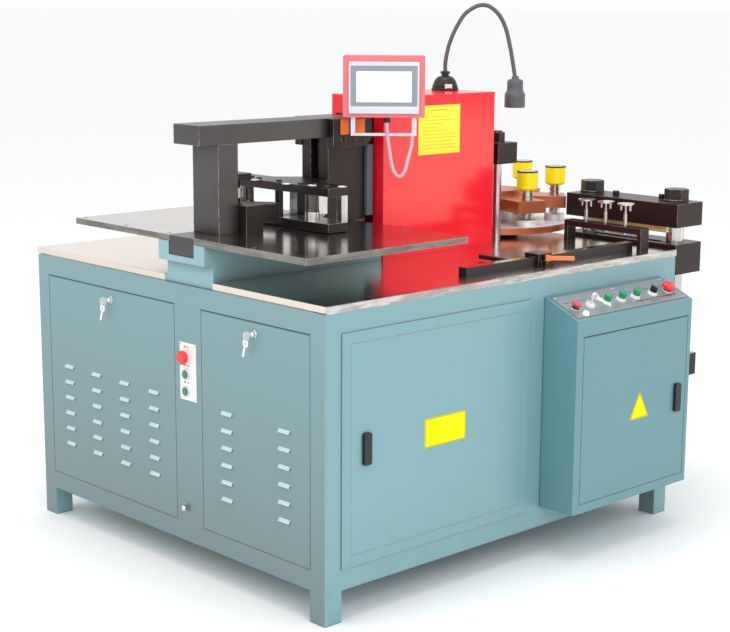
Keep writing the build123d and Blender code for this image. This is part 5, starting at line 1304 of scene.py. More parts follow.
@dataclass
class TouchScreen:
    """Front of the touch screen and its cable, in a frame that turns with the swivel."""

    machine: Machine
    angle: float = -43.161
    swivel: Triple = (631.0, 447.0, 870.0)
    front: float = -81.7
    frame: Triple = (206.0, 150.0, 3.0)
    frame_centre: float = 525.5
    window: Triple = (195.0, 118.0, 3.0)
    window_centre: float = 530.0
    display: Triple = (161.0, 89.0, 1.5)
    display_centre: float = 528.5
    gland_inset: float = -67.7
    gland_height: float = 439.0
    yoke_inset: float = -50.2
    cable_r: float = 5.5
    cable_rib: float = 0.75
    cable_pitch: float = 9.0
    cable_offset: float = 9.5
    cable_step: float = 0.0009

    def seat(self, right: float = 0.0, depth: float = 0.0, up: float = 0.0) -> Seat:
        """The front's own frame: X to the viewer's right, Y up and Z towards the viewer."""
        turn = math.radians(self.angle)
        along = (math.cos(turn), math.sin(turn), 0.0)
        toward = (math.sin(turn), -math.cos(turn), 0.0)
        origin = np.array(self.swivel) + right * np.array(along) - depth * np.array(toward)
        return Seat(
            (float(origin[0]), float(origin[1]), float(origin[2]) + up), along, (0.0, 0.0, 1.0),
            toward,
        )

    def build(self) -> None:
        """Builds the trim, the bezel, the display and the cable."""
        add = self.machine.add
        shift = (0.0, self.window_centre - self.frame_centre)
        face = self.seat(0.0, self.front, self.frame_centre)
        trim = surround(self.frame, self.window, -0.6, 1.6, 0.8, face, shift)
        add("screen_trim", [trim], SILVER_TRIM, "screen", "panel_grey")
        face = self.seat(0.0, self.front, self.window_centre)
        shift = (0.0, self.display_centre - self.window_centre)
        bezel = surround(self.window, self.display, -0.4, 0.7, 0.35, face, shift)
        add("screen_bezel", [bezel], BEZEL_GREY, "screen", "panel_grey")
        face = self.seat(0.0, self.front, self.display_centre)
        width, height, corner = self.display
        glass = plate(width + 0.4, height + 0.4, corner, -2.6, -0.7, 0.3, face)
        add("screen_display", [glass], DISPLAY_WHITE, "screen", "white_enamel")
        self._gland()
        self._cable()

    def _gland(self) -> None:
        """Cable gland with its nut, below the housing."""
        gland = self.seat(self.cable_offset, self.gland_inset, self.gland_height)
        nut = [
            (7.5, -15.0), (9.6, -14.0), (10.6, -12.5), (10.6, -7.5), (9.8, -6.5), (10.8, -5.6),
            (10.8, -0.2),
        ]
        down = Seat(gland.origin, gland.x, gland.z, (0.0, 0.0, 1.0))
        self.machine.add(
            "cable_gland", [lathed(nut, 24, down)], BLACK_PLASTIC, "screen", "black_plastic"
        )

    def route(self) -> np.ndarray:
        """Points of the cable's loop from the gland to the yoke, as in the CAD source."""
        start, gland, yoke = self.cable_offset, self.gland_inset, self.yoke_inset
        local = [
            (start, gland, 425.0), (start, gland, 401.0), (13.0, gland, 372.0),
            (18.0, gland, 339.0), (23.0, gland, 305.0), (31.0, gland, 276.0),
            (48.0, gland + 1, 261.0), (63.0, gland + 3, 277.0), (70.0, gland + 7, 306.0),
            (77.0, gland + 12, 334.0), (84.5, yoke, 358.0), (84.5, yoke, 384.0),
        ]
        return np.array([self.seat(*point).origin for point in local])

    def _cable(self) -> None:
        """Cable in a spiral sheath: a tube along its spline whose radius follows a helix."""
        points = self.machine.row(self.route())
        curve = bpy.data.curves.new("cable_line", "CURVE")
        curve.dimensions = "3D"
        curve.resolution_u = 12
        spline = curve.splines.new("NURBS")
        spline.points.add(len(points) - 1)
        spline.points.foreach_set("co", np.column_stack([points, np.ones(len(points))]).ravel())
        spline.order_u = 3
        spline.use_endpoint_u = True
        line = bpy.data.objects.new("cable_line", curve)
        bpy.context.scene.collection.objects.link(line)
        bpy.context.view_layer.update()
        worked_out = line.evaluated_get(bpy.context.evaluated_depsgraph_get())
        read = bpy.data.meshes.new_from_object(worked_out)
        path = np.zeros(len(read.vertices) * 3)
        read.vertices.foreach_get("co", path)
        bpy.data.objects.remove(line)
        path = evenly(path.reshape(-1, 3), self.cable_step)
        steps = 18
        turn = np.linspace(0, FULL_TURN, steps, endpoint=False)[None]
        phase = turn - FULL_TURN * walked(path)[:, None] * MM / self.cable_pitch
        wave = np.tanh(2.5 * np.cos(phase) + 1.6)
        radius = (self.cable_r - self.cable_rib + self.cable_rib * wave) / MM
        toward = self.seat().z
        millimetres = (swept(path, radius, toward, steps) - self.machine.datum) * MM
        cable = self.machine.add(
            "screen_cable", [capped(millimetres)], SPIRAL_GREY, "screen", "cable_grey", [
                "hmi_cable"
            ], 60.0
        )


@dataclass
class WorkLamp:
    """Gooseneck lamp on the red cover."""

    machine: Machine
    foot: Pair = (1097.0, 645.0)
    roof: float = 1362.0
    angle: float = -43.161
    neck_r: float = 7.0
    rib_pitch: float = 4.2
    head_reach: float = 228.0
    neck: tuple[Pair, ...] = (
        (0, 57), (0, 86), (5, 120), (14, 154), (33, 199), (58, 240), (84, 261), (112, 272),
        (141, 267), (172, 240), (194, 197), (210, 135), (221, 78), (228, 36),
    )
    head: tuple[Pair, ...] = (
        (8.5, 47), (10.5, 46), (11.5, 44), (11.5, 38), (13, 37.2), (15, 37), (22, 34.5), (25, 31.5),
        (26, 28), (26, 14), (25.4, 13.4), (26, 12.8), (26.2, 2), (27.5, -2), (30.5, -7),
        (32.6, -10), (33.5, -14), (33.5, -24), (32.9, -24.6), (33.5, -25.2), (33.5, -31),
        (32.9, -31.6), (33.5, -32.2), (33.5, -53), (33, -54.6), (31.8, -55), (30.6, -54.4),
        (30, -51), (28, -40), (14, -34),
    )
    rib: float = 0.35
    switch_angle: float = 30.0
    switch_reach: float = 41.0
    switch_height: float = 13.0

    def build(self) -> None:
        """Builds neck, head, lens, base collar and its switch."""
        add = self.machine.add
        turn = math.radians(self.angle)
        along = (math.cos(turn), math.sin(turn), 0.0)
        across = (-math.sin(turn), math.cos(turn), 0.0)
        seat = Seat((*self.foot, self.roof), along, across, (0.0, 0.0, 1.0))
        line = eased([(reach, 0.0, height) for reach, height in self.neck], 24)
        path = evenly(line, self.rib_pitch / 6)
        phase = FULL_TURN * walked(path) / self.rib_pitch
        radius = self.neck_r - self.rib + self.rib * np.cos(phase)
        neck = capped(swept(path, radius, (0.0, 1.0, 0.0), 20)).moved(seat)
        head_seat = seat.lifted(self.head_reach, 0.0)
        head = lathed(self.head[::-1], 56, head_seat)
        add("lamp_gooseneck", [neck], LAMP_GREY, "lamp", "lamp_grey", ["lamp_neck"], 80.0)
        add("lamp_head", [head], LAMP_GREY, "lamp", "lamp_grey", (), 40.0)
        lens = [(12.0, -50.0), (24.0, -49.0), (28.5, -46.0), (29.0, -42.0)]
        add("lamp_lens", [lathed(lens, 40, head_seat)], LENS_WHITE, "lamp", "white_enamel")
        collar = [(13.0, 52.0), (15.5, 53.0), (15.8, 58.5), (14.0, 60.5), (9.0, 61.5)]
        ridge = [(43.0, 0.3), (44.0, 1.4), (44.0, 7.0), (42.8, 8.6), (38.0, 9.4)]
        steps = [
            [(39.0, 10.0), (41.6, 11.0), (41.6, 16.0), (38.0, 17.6), (36.0, 18.0)],
            [(32.0, 26.0), (34.6, 27.4), (34.4, 31.0), (30.0, 32.6)],
            [(22.0, 37.0), (25.0, 38.4), (24.6, 41.6), (19.0, 43.4)],
        ]
        skins = [lathed(outline, 56, seat) for outline in (collar, ridge, *steps)]
        add("lamp_base_collar", skins, BLACK_PLASTIC, "cabinet", "black_plastic")
        look = math.radians(self.switch_angle)
        out = (-math.sin(look), -math.cos(look), 0.0)
        side = (-out[1], out[0], 0.0)
        foot = Seat((*self.foot, self.roof), side, (0.0, 0.0, 1.0), out)
        switch = foot.lifted(0.0, self.switch_height, self.switch_reach)
        rocker = plate(24.0, 15.0, 2.0, -6.0, 2.0, 0.6, switch)
        add("lamp_switch", [rocker], WHITE_ENAMEL, "cabinet", "white_enamel")


@dataclass
class Punches:
    """The six sprung punches: yellow cup, black rim and bright neck."""

    machine: Machine
    count: int = 6
    cup_r: float = 35.4
    cup_z: float = 1025.0
    cup_height: float = 65.0
    tip_z: float = 936.0
    neck_z: float = 986.0
    neck_r: float = 19.5
    tip_r: float = 11.0
    bush_r: float = 19.5

    def build(self) -> None:
        """Builds each punch at the place of its CAD node, and the bush that guides its tip."""
        bush, tip = self.bush_r, self.tip_r
        guide = [
            (bush - 1, 950.4), (bush, 949.6), (bush, 944.0), (bush - 1.2, 943.0),
            (bush - 1.2, 941.0), (bush, 940.0), (bush, 931.0), (bush - 1.2, 930.0),
            (tip + 1.6, 930.0), (tip + 1.2, 931.0), (tip + 1.2, 949.0),
        ]
        bushes: list[Skin] = []
        for index in range(1, self.count + 1):
            name = f"punch_{index}"
            low, high = self.machine.box(name)
            x, y, _ = (low + high) / 2
            seat = Seat((float(x), float(y), 0.0))
            self._punch(name, seat)
            bushes.append(lathed_ring(guide, 44, seat))
        self.machine.add("guide_bushes", bushes, BRIGHT_STEEL, "turret", "bright_steel")

    def _punch(self, name: str, seat: Seat) -> None:
        """Cup, rim with its top plate, and neck with grooves."""
        z0, z1, r = self.cup_z, self.cup_z + self.cup_height, self.cup_r
        cup = [
            (r - 12, z0 + 0.2), (r - 8, z0 + 0.6), (r - 4.4, z0 + 3.0), (r - 3.0, z0 + 5.0),
            (r - 0.4, z0 + 5.6), (r + 0.4, z0 + 6.6), (r + 0.4, z0 + 8.6), (r - 0.2, z0 + 9.6),
            (r - 0.2, z1 - 5.6), (r - 0.9, z1 - 4.6), (r - 2.4, z1 - 4.4),
        ]
        band = [
            (r - 3.0, z1 - 4.8), (r - 0.4, z1 - 4.5), (r + 0.3, z1 - 3.9), (r + 0.3, z1 - 1.2),
            (r - 0.4, z1 - 0.4), (r - 1.4, z1), (r - 3.2, z1), (r - 3.6, z1 - 0.8),
        ]
        top = [
            (r - 3.0, z1 - 3.0), (r - 3.4, z1 - 0.9), (r - 5.0, z1 - 0.2), (12.0, z1 + 1.4),
            (11.0, z1 - 0.4), (8.4, z1 - 1.4), (8.0, z1 - 5.0), (0.4, z1 - 5.2),
        ]
        n = self.neck_r - 0.4
        tip = self.tip_r - 0.4
        neck = [
            (tip - 1.2, self.tip_z), (tip, self.tip_z + 1), (tip, self.neck_z),
            (n - 1, self.neck_z), (n, self.neck_z + 1), (n, z0 - 24), (n - 1.8, z0 - 23),
            (n - 1.8, z0 - 19), (n, z0 - 18), (n, z0 - 9), (n - 1.6, z0 - 8), (n - 1.6, z0 - 3),
            (n, z0 - 2), (n, z0 + 0.6),
        ]
        add = self.machine.add
        add(f"{name}_cup", [lathed(cup, 56, seat)], YELLOW_ENAMEL, name, "spring_yellow", [name])
        add(f"{name}_rim", [lathed(band, 56, seat)], BLACK_RING, name, "black_plastic")
        add(f"{name}_cap", [lathed(top, 48, seat)], BRIGHT_STEEL, name, "bright_steel")
        add(f"{name}_shank", [lathed(neck, 48, seat)], BRIGHT_STEEL, name, "bright_steel")


@dataclass
class ControlPanel:
    """What sits on the sloped panel of the control box."""

    machine: Machine
    wall_top: float = 795.0
    front_top: float = 739.0
    depth: float = 128.0
    row: float = 82.0
    plate: Pair = (876.0, 1408.0)
    plate_rows: Pair = (10.0, 129.0)
    plate_thick: float = 1.5
    red_x: float = 912.0
    key_x: float = 981.0
    green_xs: tuple[float, ...] = (1057.0, 1127.0, 1197.0)
    selector_x: float = 1282.0
    stop_x: float = 1358.0
    lamp: Pair = (924.0, 116.0)
    spot: Pair = (1155.0, 22.0)
    housing_r: float = 14.0
    words: Triple = (1179.0, 1378.0, 103.0)
    word_ends: tuple[float, ...] = (
        0.0, 0.075, 0.16, 0.235, 0.32, 0.41, 0.49, 0.58, 0.665, 0.75, 0.84, 0.92, 1.0,
    )
    screw_inset: Pair = (12.0, 9.0)
    bow_height: float = 37.0
    spare_falls: Triple = (0.42, -0.9, -0.12)

    def seat(self, x: float, row: float, out: float = 0.0) -> Seat:
        """The panel's frame: X right, Y up the slope and Z out of it."""
        rise = self.wall_top - self.front_top
        length = math.hypot(self.depth, rise)
        share = row / length
        up = (0.0, self.depth / length, rise / length)
        normal = (0.0, -rise / length, self.depth / length)
        on_plate = np.array((x, -self.depth * share, self.wall_top - rise * share))
        origin = on_plate + out * np.array(normal)
        return Seat(tuple(float(v) for v in origin), (1.0, 0.0, 0.0), up, normal)

    def build(self) -> None:
        """Builds collars, lens caps, border, legends and the hanging key."""
        self._collars()
        self._heads()
        self._print()
        self._spare_key()

    def _collars(self) -> None:
        """Plastic collars over the button housings."""
        r = self.housing_r
        ring = [
            (r + 1.4, 1.4), (r + 2.0, 2.0), (r + 2.0, 3.4), (r + 0.8, 4.4), (r + 0.6, 10.4),
            (r - 0.2, 11.6), (r - 1.2, 11.8), (r - 1.6, 11.0), (r - 1.9, 6.2), (r - 1.6, 1.6),
        ]
        pale = [self.seat(x, self.row) for x in (self.key_x, *self.green_xs, self.selector_x)]
        low = [
            (r + 1.2, 1.4), (r + 2.4, 2.0), (r + 2.4, 4.2), (r + 1.6, 5.0), (r + 0.4, 5.0),
            (r + 0.3, 1.6),
        ]
        collars = [lathed_ring(ring, 44, seat) for seat in pale]
        collars.append(lathed_ring(low, 44, self.seat(self.stop_x, self.row)))
        self.machine.add("button_collars", collars, WHITE_ENAMEL, "cabinet", "white_enamel")
        red = lathed_ring(low, 44, self.seat(self.red_x, self.row))
        self.machine.add("red_button_collar", [red], PLATED, "cabinet", "brass_lock")
        x, row = self.lamp
        dome = [
            (10.5, 1.4), (11.0, 2.2), (10.6, 3.2), (9.2, 3.6), (9.2, 8.6), (8.0, 10.8), (5.0, 12.0),
            (1.5, 12.5),
        ]
        lamp = lathed(dome, 36, self.seat(x, row))
        self.machine.add("signal_lamp", [lamp], LENS_WHITE, "cabinet", "white_enamel")

    def _heads(self) -> None:
        """The broad red cap, which stands for its whole button, and three green lens caps."""
        top = self._top_of("red_push", self.red_x)
        cap = [
            (9.0, top - 12.0), (9.0, top - 7.0), (14.6, top - 6.0), (15.6, top - 4.6),
            (15.6, top - 2.0), (14.4, top - 0.6), (11.0, top + 0.2), (5.0, top + 0.8),
            (1.0, top + 0.9),
        ]
        skin = lathed(cap, 44, self.seat(self.red_x, self.row))
        self.machine.add("red_lens", [skin], DARK_RED, "red_push", "red_plastic", ["red_button"])
        for side, x in zip(("left", "middle", "right"), self.green_xs):
            top = self._top_of(f"green_{side}", x)
            cap = [
                (11.0, top - 3.0), (12.6, top - 2.6), (13.2, top - 1.4), (13.2, top + 4.5),
                (12.6, top + 6.0), (11.0, top + 7.0), (6.0, top + 7.8), (1.0, top + 8.0),
            ]
            skin = lathed(cap, 44, self.seat(x, self.row))
            name, body = f"green_lens_{side}", f"green_{side}"
            self.machine.add(name, [skin], GREEN_PLASTIC, body, "green_plastic")

    def _top_of(self, body: str, x: float) -> float:
        """How far a button's CAD solid stands out of the panel."""
        node = self.machine.frame["record"]["behaviour"]["bodies"][body][0]
        mesh = self.machine.frame["nodes"][node].data
        points = np.zeros(len(mesh.vertices) * 3)
        mesh.vertices.foreach_get("co", points)
        seat = self.seat(x, self.row)
        placed = (points.reshape(-1, 3) - self.machine.datum) * MM
        return float(((placed - np.array(seat.origin)) @ np.array(seat.z)).max())

    def _print(self) -> None:
        """Border line, unlettered bars in the places of the words, and the plate's screws."""
        x0, x1 = self.plate
        row0, row1 = self.plate_rows
        middle = self.seat((x0 + x1) / 2, (row0 + row1) / 2, self.plate_thick)
        width, height = x1 - x0, row1 - row0
        outer, inner = (width - 1, height - 1, 2), (width - 4.4, height - 4.4, 2)
        skins = [surround(outer, inner, -0.1, 0.2, 0.05, middle)]
        for x in (self.red_x, self.key_x, *self.green_xs, self.selector_x, self.stop_x):
            skins.append(self._bar(x - 6, self.row - 31, 16.0, 3.0))
            skins.append(self._bar(x + 9, self.row - 31, 8.0, 3.0))
        left, right, row = self.words
        band = right - left
        for start, end in zip(self.word_ends, self.word_ends[1:]):
            middle_x = left + band * (start + end) / 2
            skins.append(self._bar(middle_x, row, band * (end - start) - 5, 6.0))
        skins.append(self._bar((left + right) / 2 - 18, row + 12, 46.0, 3.0))
        self.machine.add("panel_print", skins, PRINT_DARK, "cabinet", "black_plastic")
        x, row = self.spot
        head = [(3.2, 1.4), (4.2, 1.6), (4.0, 2.6), (2.6, 3.4), (0.4, 3.6)]
        in_x, in_row = self.screw_inset
        places = (
            (x, row), (x0 + in_x, row0 + in_row), (x1 - in_x, row0 + in_row),
            (x1 - in_x, row1 - in_row),
        )
        screws = [lathed(head, 20, self.seat(*place)) for place in places]
        self.machine.add("panel_screws", screws, PLATED, "cabinet", "bright_steel")

    def _bar(self, x: float, row: float, width: float, height: float) -> Skin:
        """One raised printed bar on the panel."""
        return plate(width, height, 0.8, 0.0, 0.12, 0.04, self.seat(x, row, self.plate_thick))

    def _spare_key(self) -> None:
        """Spare key that hangs from the standing key's bow on a ring."""
        bow = self.seat(self.key_x, self.row, self.bow_height)
        Keys(self.machine).hang("key_switch_spare", "key", bow, self.spare_falls)


@dataclass
class Keys:
    """Keys, rings and lock bezels."""

    machine: Machine
    lock_z: float = 756.0
    locks: tuple[tuple[str, float], ...] = (("front", 291.0), ("rear", 974.0))
    ring_r: float = 8.0
    ring_thick: float = 1.3
    bow_x: float = -24.0
    bow_drop: float = 6.0
    bow_r: float = 11.0
    hole_r: float = 3.2
    spare_falls: Triple = (-0.3, -1.0, 0.0)
    blade: Triple = (30.0, 7.0, 2.2)

    def build(self) -> None:
        """Builds bezels round both panel locks and a hanging key at each."""
        ring = [(8.0, -0.5), (13.2, -0.5), (13.6, 0.6), (12.4, 2.6), (9.8, 3.6), (8.0, 3.4)]
        for name, y in self.locks:
            bezel = lathed_ring(ring, 40, left_seat(0.0, y, self.lock_z))
            self.machine.add(f"{name}_lock_bezel", [bezel], PLATED, f"{name}_panel", "brass_lock")
            bow = left_seat(self.bow_x, y, self.lock_z - self.bow_drop)
            self.hang(f"{name}_lock_spare", f"{name}_lock", bow, self.spare_falls)

    def hang(self, name: str, body: str, bow: Seat, down: Triple) -> None:
        """Ring through a key's bow with a second key below it.

        Args:
            name: the piece's name.
            body: the body it moves with.
            bow: frame of the bow that carries the ring.
            down: direction in that frame in which the key hangs.
        """

        def aimed(direction: np.ndarray) -> Triple:
            """A direction of the bow's frame as one of the machine."""
            return tuple(float(n) for n in direction @ np.array([bow.x, bow.y, bow.z]))

        fall = np.array(down) / np.linalg.norm(down)
        across = np.cross(fall, (0.0, 0.0, 1.0))
        across /= np.linalg.norm(across)
        out = np.cross(across, fall)
        ring_middle = fall * (self.ring_r - 2.0)
        ring_seat = Seat(tuple(bow.place(ring_middle)), aimed(fall), aimed(out), aimed(across))
        ring = looped(torus(self.ring_r, self.ring_thick)).moved(ring_seat)
        key_middle = fall * (2 * self.ring_r + 3.0)
        key_seat = Seat(tuple(bow.place(key_middle)), aimed(across), aimed(fall), aimed(-out))
        edge, hole = self.bow_r, self.hole_r
        head = [
            (edge, -1.1), (edge + 0.4, 0.0), (edge, 1.1), (hole, 1.1), (hole - 0.3, 0.0),
            (hole, -1.1),
        ]
        length, width, thick = self.blade
        below = key_seat.lifted(0.0, edge + length / 2 - 1.5)
        shank = plate(width, length, 1.6, -thick / 2, thick / 2, 0.4, below)
        skins = [ring, lathed_ring(head, 32, key_seat), shank]
        self.machine.add(name, skins, KEY_STEEL, body, "brass_lock")


@dataclass
class SidePlate:
    """Rings, collar, legends and screws of the white button plate on the left side."""

    machine: Machine
    y: float = 594.0
    stop_z: float = 643.0
    button_zs: Pair = (592.0, 542.0)
    plate: Quad = (548.5, 624.5, 516.0, 684.5)
    screw_inset: float = 6.0
    face: float = -1.5

    def build(self) -> None:
        """Builds rings, the stop button's collar, legends and plate screws."""
        add = self.machine.add
        ring = [
            (15.8, 1.2), (16.4, 2.0), (16.2, 6.6), (15.0, 7.6), (13.4, 7.6), (12.4, 6.4),
            (12.3, 1.4),
        ]
        rings = [lathed_ring(ring, 44, left_seat(0.0, self.y, z)) for z in self.button_zs]
        add("side_button_rings", rings, SILVER_TRIM, "cabinet", "panel_grey")
        stop = left_seat(0.0, self.y, self.stop_z)
        collar = [(16.5, 1.2), (17.4, 2.0), (17.4, 4.2), (16.6, 5.0), (14.4, 5.0), (14.3, 1.4)]
        add(
            "side_stop_collar", [lathed_ring(collar, 44, stop)], WHITE_ENAMEL, "cabinet",
            "white_enamel",
        )
        y0, y1, z0, z1 = self.plate
        skins = []
        for z, wide in (
            (self.stop_z + 29, 12.0), (self.stop_z - 25, 16.0), (self.button_zs[0] - 24, 14.0),
        ):
            for step, share in ((-0.62, 0.5), (0.5, 0.8)):
                seat = left_seat(self.face, self.y + step * wide, z)
                skins.append(plate(wide * share, 3.4, 0.8, 0.0, 0.12, 0.04, seat))
        add("side_plate_print", skins, PRINT_DARK, "cabinet", "black_plastic")
        head = [(2.6, 0.0), (3.4, 0.3), (3.1, 1.2), (1.8, 1.8), (0.3, 1.9)]
        inset = self.screw_inset
        screws = [
            lathed(head, 20, left_seat(self.face, y, z))
            for y in (y0 + inset, y1 - inset)
            for z in (z0 + inset, z1 - inset)
        ]
        add("side_plate_screws", screws, PLATED, "cabinet", "bright_steel")


@dataclass
class Plates:
    """Bare plates in the places of the labels."""

    machine: Machine
    tool_plate: Quad = (366.0, 531.0, 427.0, 511.0)
    triangle: Quad = (1125.0, 1215.0, 399.0, 479.0)
    triangle_corner: float = 5.0
    triangle_pull: float = 0.86
    triangle_levels: tuple[Pair, ...] = ((1.0, -0.2), (1.0, 0.5), (0.992, 0.8))
    triangle_line: tuple[Pair, ...] = ((0.93, 0.7), (0.93, 0.95), (0.87, 0.95), (0.87, 0.7))
    control_door_y: float = -128.0
    cover_plate: Quad = (808.0, 992.0, 1178.0, 1329.0)
    cover_y: float = 476.0
    line_lengths: tuple[float, ...] = (0.62, 0.8, 0.52, 0.38, 0.6, 0.84, 0.86, 0.7, 0.82, 0.84)
    line_start: float = -0.42
    first_indent: float = 0.05
    first_line: float = 0.27
    line_pitch: float = 0.072
    cheek_plates: tuple[Quad, ...] = (
        (503.0, 537.0, 1256.0, 1302.0), (565.0, 601.0, 1254.0, 1300.0),
    )
    cheek_y: float = 496.0

    def build(self) -> None:
        """Builds all the plates."""
        add = self.machine.add
        door = float(self.machine.box("tool_box_door")[0][1])
        seat, width, height = self._middle(self.tool_plate, door)
        face = plate(width, height, 3.0, -0.2, 0.8, 0.3, seat)
        add("tool_box_plate", [face], PLATE_YELLOW, "tool_door", "spring_yellow")
        outer, inner = (width - 3, height - 3, 2), (width - 6.4, height - 6.4, 1.5)
        line = surround(outer, inner, 0.7, 0.95, 0.05, seat)
        add("tool_box_plate_line", [line], PRINT_DARK, "tool_door", "black_plastic")
        self._triangle()
        seat, width, height = self._middle(self.cover_plate, self.cover_y)
        face = plate(width, height, 2.0, -0.2, 0.6, 0.25, seat)
        add("cover_plate", [face], SHEET_YELLOW, "cabinet", "spring_yellow")
        self._cover_lines(seat, width, height)
        skins = []
        for place in self.cheek_plates:
            seat, width, height = self._middle(place, self.cheek_y)
            skins.append(plate(width, height, 2.0, -0.2, 0.8, 0.3, seat))
        add("cheek_labels", skins, PLATE_ORANGE, "cabinet", "orange_plastic")

    @staticmethod
    def _middle(place: Quad, y: float) -> tuple[Seat, float, float]:
        """Frame at a plate's middle with the plate's width and height."""
        x0, x1, z0, z1 = place
        return front_seat((x0 + x1) / 2, y, (z0 + z1) / 2), x1 - x0, z1 - z0

    def _triangle(self) -> None:
        """Plain three-cornered plate with round corners, an eased edge and a border line."""
        x0, x1, z0, z1 = self.triangle
        corners = np.array([[x1, z0], [(x0 + x1) / 2, z1], [x0, z0]])
        middle = corners.mean(axis=0)
        start = np.array([-math.pi / 2, math.radians(25), math.radians(155)])
        span = np.array([math.radians(115), math.radians(130), math.radians(115)])
        turn = start[:, None] + span[:, None] * np.linspace(0, 1, 8)[None]
        pulled = middle + (corners - middle) * self.triangle_pull
        round_off = self.triangle_corner * np.stack([np.cos(turn), np.sin(turn)], -1)
        loop = (pulled[:, None] + round_off).reshape(-1, 2) - middle
        seat = front_seat(float(middle[0]), self.control_door_y, float(middle[1]))
        face = capped(stacked((loop * scale, z) for scale, z in self.triangle_levels)).moved(seat)
        line = looped(stacked((loop * scale, z) for scale, z in self.triangle_line)).moved(seat)
        add = self.machine.add
        add("control_door_triangle", [face], PLATE_YELLOW, "control_door", "spring_yellow")
        add("control_door_triangle_line", [line], PRINT_DARK, "control_door", "black_plastic")

    def _cover_lines(self, seat: Seat, width: float, height: float) -> None:
        """Thin unlettered lines on the yellow sheet: a centred heading and ragged rows."""
        skins = [plate(width * 0.45, 3.0, 0.8, 0.0, 0.1, 0.03, seat.lifted(0.0, height * 0.4, 0.6))]
        for index, share in enumerate(self.line_lengths):
            left = width * (self.line_start + (self.first_indent if index == 0 else 0.0))
            up = height * (self.first_line - self.line_pitch * index)
            place = seat.lifted(left + width * share / 2, up, 0.6)
            skins.append(plate(width * share, 1.5, 0.5, 0.0, 0.1, 0.03, place))
        self.machine.add("cover_plate_lines", skins, PRINT_OLIVE, "cabinet", "black_plastic")


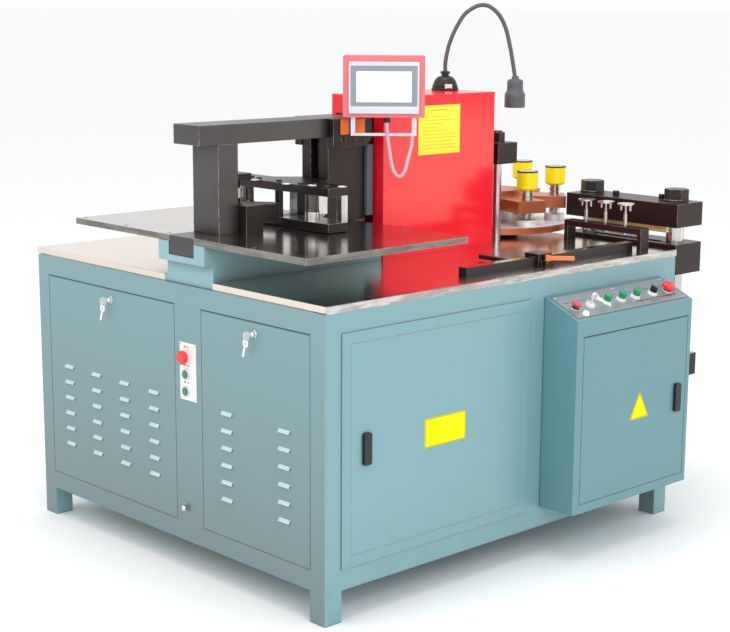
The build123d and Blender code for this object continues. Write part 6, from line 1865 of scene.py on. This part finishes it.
@dataclass
class Studio:
    """Pale floor, soft light and the camera of the photograph."""

    machine: Machine
    eye: Triple = (-2673.669, -3001.2997, 1634.6669)
    azimuth: float = 0.7533
    dip: float = 0.193
    roll: float = 0.0056
    focal_pixels: float = 1595.3362
    sensor: float = 36.0
    clip: Pair = (0.05, 1500.0)
    floor_size: float = 900.0
    floor_white: Rgb = (252, 252, 252)
    floor_roughness: float = 0.9
    floor_gloss: float = 0.1
    white: Rgb = (252, 253, 254)
    ambient: float = 1.0
    lit_point: Triple = (0.0, 0.0, 0.8)
    lamps: tuple[tuple[str, Triple, Pair, float, Triple], ...] = (
        ("front_softbox", (-2.2, -4.6, 3.2), (2.2, 2.2), 50.0, (0.94, 0.98, 1.0)),
        ("left_softbox", (-5.0, 0.4, 3.4), (2.4, 2.4), 40.0, (1.0, 0.94, 0.88)),
        ("top_softbox", (-0.6, -0.4, 5.6), (3.0, 3.0), 70.0, (1.0, 1.0, 1.0)),
        ("cover_glow", (3.95, -3.9, 0.6), (0.9, 0.7), 5.0, (1.0, 0.8, 0.55)),
    )

    def build(self) -> None:
        """Builds floor, world, camera and lamps, of which the last is a small warm one placed for
        its glint on the red cover.
        """
        self._floor()
        self._world()
        for lamp in self.lamps:
            self._lamp(*lamp)
        self._camera()
        bpy.context.scene.view_settings.view_transform = "Standard"

    def _backdrop(self, w: Wiring) -> Socket:
        """1 for rays of the camera, of gloss and of glass, and 0 for all others."""
        path = w.add("ShaderNodeLightPath")
        glossy = w.maths("MAXIMUM", path.outputs["Is Camera Ray"], path.outputs["Is Glossy Ray"])
        return w.maths("MAXIMUM", glossy, path.outputs["Is Transmission Ray"])

    def _floor(self) -> None:
        """Large plain floor."""
        half = self.floor_size / 2
        corners = [(-half, -half, 0), (half, -half, 0), (half, half, 0), (-half, half, 0)]
        mesh = bpy.data.meshes.new("studio_floor")
        mesh.from_pydata(corners, [], [[0, 1, 2, 3]])
        floor = bpy.data.objects.new("studio_floor", mesh)
        bpy.context.scene.collection.objects.link(floor)
        material = bpy.data.materials.new("studio_floor")
        material.use_nodes = True
        shader = material.node_tree.nodes["Principled BSDF"]
        shader.inputs["Base Color"].default_value = seen(self.floor_white)
        shader.inputs["Roughness"].default_value = self.floor_roughness
        shader.inputs["Specular IOR Level"].default_value = self.floor_gloss
        mesh.materials.append(material)

    def _world(self) -> None:
        """White to the camera and in reflections, and a plain level of light elsewhere."""
        world = bpy.data.worlds.new("studio")
        bpy.context.scene.world = world
        world.use_nodes = True
        w = Wiring(world.node_tree)
        shine = world.node_tree.nodes["Background"]
        shine.inputs["Color"].default_value = seen(self.white)
        w.put(shine.inputs["Strength"], w.blend(self._backdrop(w), self.ambient, 1.0))

    def _lamp(self, name: str, place: Triple, size: Pair, power: float, colour: Triple) -> None:
        """Adds one soft rectangular lamp that looks at the machine's middle.

        Args:
            name: the lamp's name.
            place: where it hangs, in the frame's metres.
            size: its width and height in metres.
            power: its strength in watts.
            colour: the share of red, green and blue in its light.
        """
        light = bpy.data.lights.new(name, "AREA")
        light.shape = "RECTANGLE"
        light.size, light.size_y = size
        light.energy = power
        light.color = colour
        lamp = bpy.data.objects.new(name, light)
        bpy.context.scene.collection.objects.link(lamp)
        back = np.array(place) - np.array(self.lit_point)
        back /= np.linalg.norm(back)
        right = np.cross((0.0, 0.0, 1.0), back)
        right /= np.linalg.norm(right)
        up = np.cross(back, right)
        turn = np.eye(4)
        turn[:3, :3] = np.stack([right, up, back], -1)
        turn[:3, 3] = place
        lamp.matrix_world = Matrix(turn.tolist())

    def _camera(self) -> None:
        """The photograph's camera, from its eye point, its two angles and its roll."""
        level = np.array([math.sin(self.azimuth), math.cos(self.azimuth), 0.0])
        view = math.cos(self.dip) * level - math.sin(self.dip) * np.array([0.0, 0.0, 1.0])
        right = np.array([level[1], -level[0], 0.0])
        up = np.cross(right, view)
        turned_right = math.cos(self.roll) * right + math.sin(self.roll) * up
        turned_up = -math.sin(self.roll) * right + math.cos(self.roll) * up
        placed = np.eye(4)
        placed[:3, :3] = np.stack([turned_right, turned_up, -view], -1)
        placed[:3, 3] = self.machine.row(self.eye)
        data = bpy.data.cameras.new("photo_camera")
        data.sensor_width = self.sensor
        data.lens = self.focal_pixels * self.sensor / PHOTO_WIDTH
        data.clip_start, data.clip_end = self.clip
        camera = bpy.data.objects.new("photo_camera", data)
        bpy.context.scene.collection.objects.link(camera)
        camera.matrix_world = Matrix(placed.tolist())
        bpy.context.scene.camera = camera


def main() -> None:
    """Builds the whole scene in order."""
    logging.basicConfig(level=logging.INFO, format="%(name)s: %(message)s")
    machine = Machine()
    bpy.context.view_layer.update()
    for unit in (
        Studio(machine),
        TouchScreen(machine),
        Body(machine),
        DieSet(machine),
        GapShadowLines(machine),
        Fasteners(machine),
        WorkLamp(machine),
        Punches(machine),
        ControlPanel(machine),
        Keys(machine),
        SidePlate(machine),
        Plates(machine),
    ):
        unit.build()
        LOG.info("%s done", type(unit).__name__)


if __name__ == "__main__":
    main()
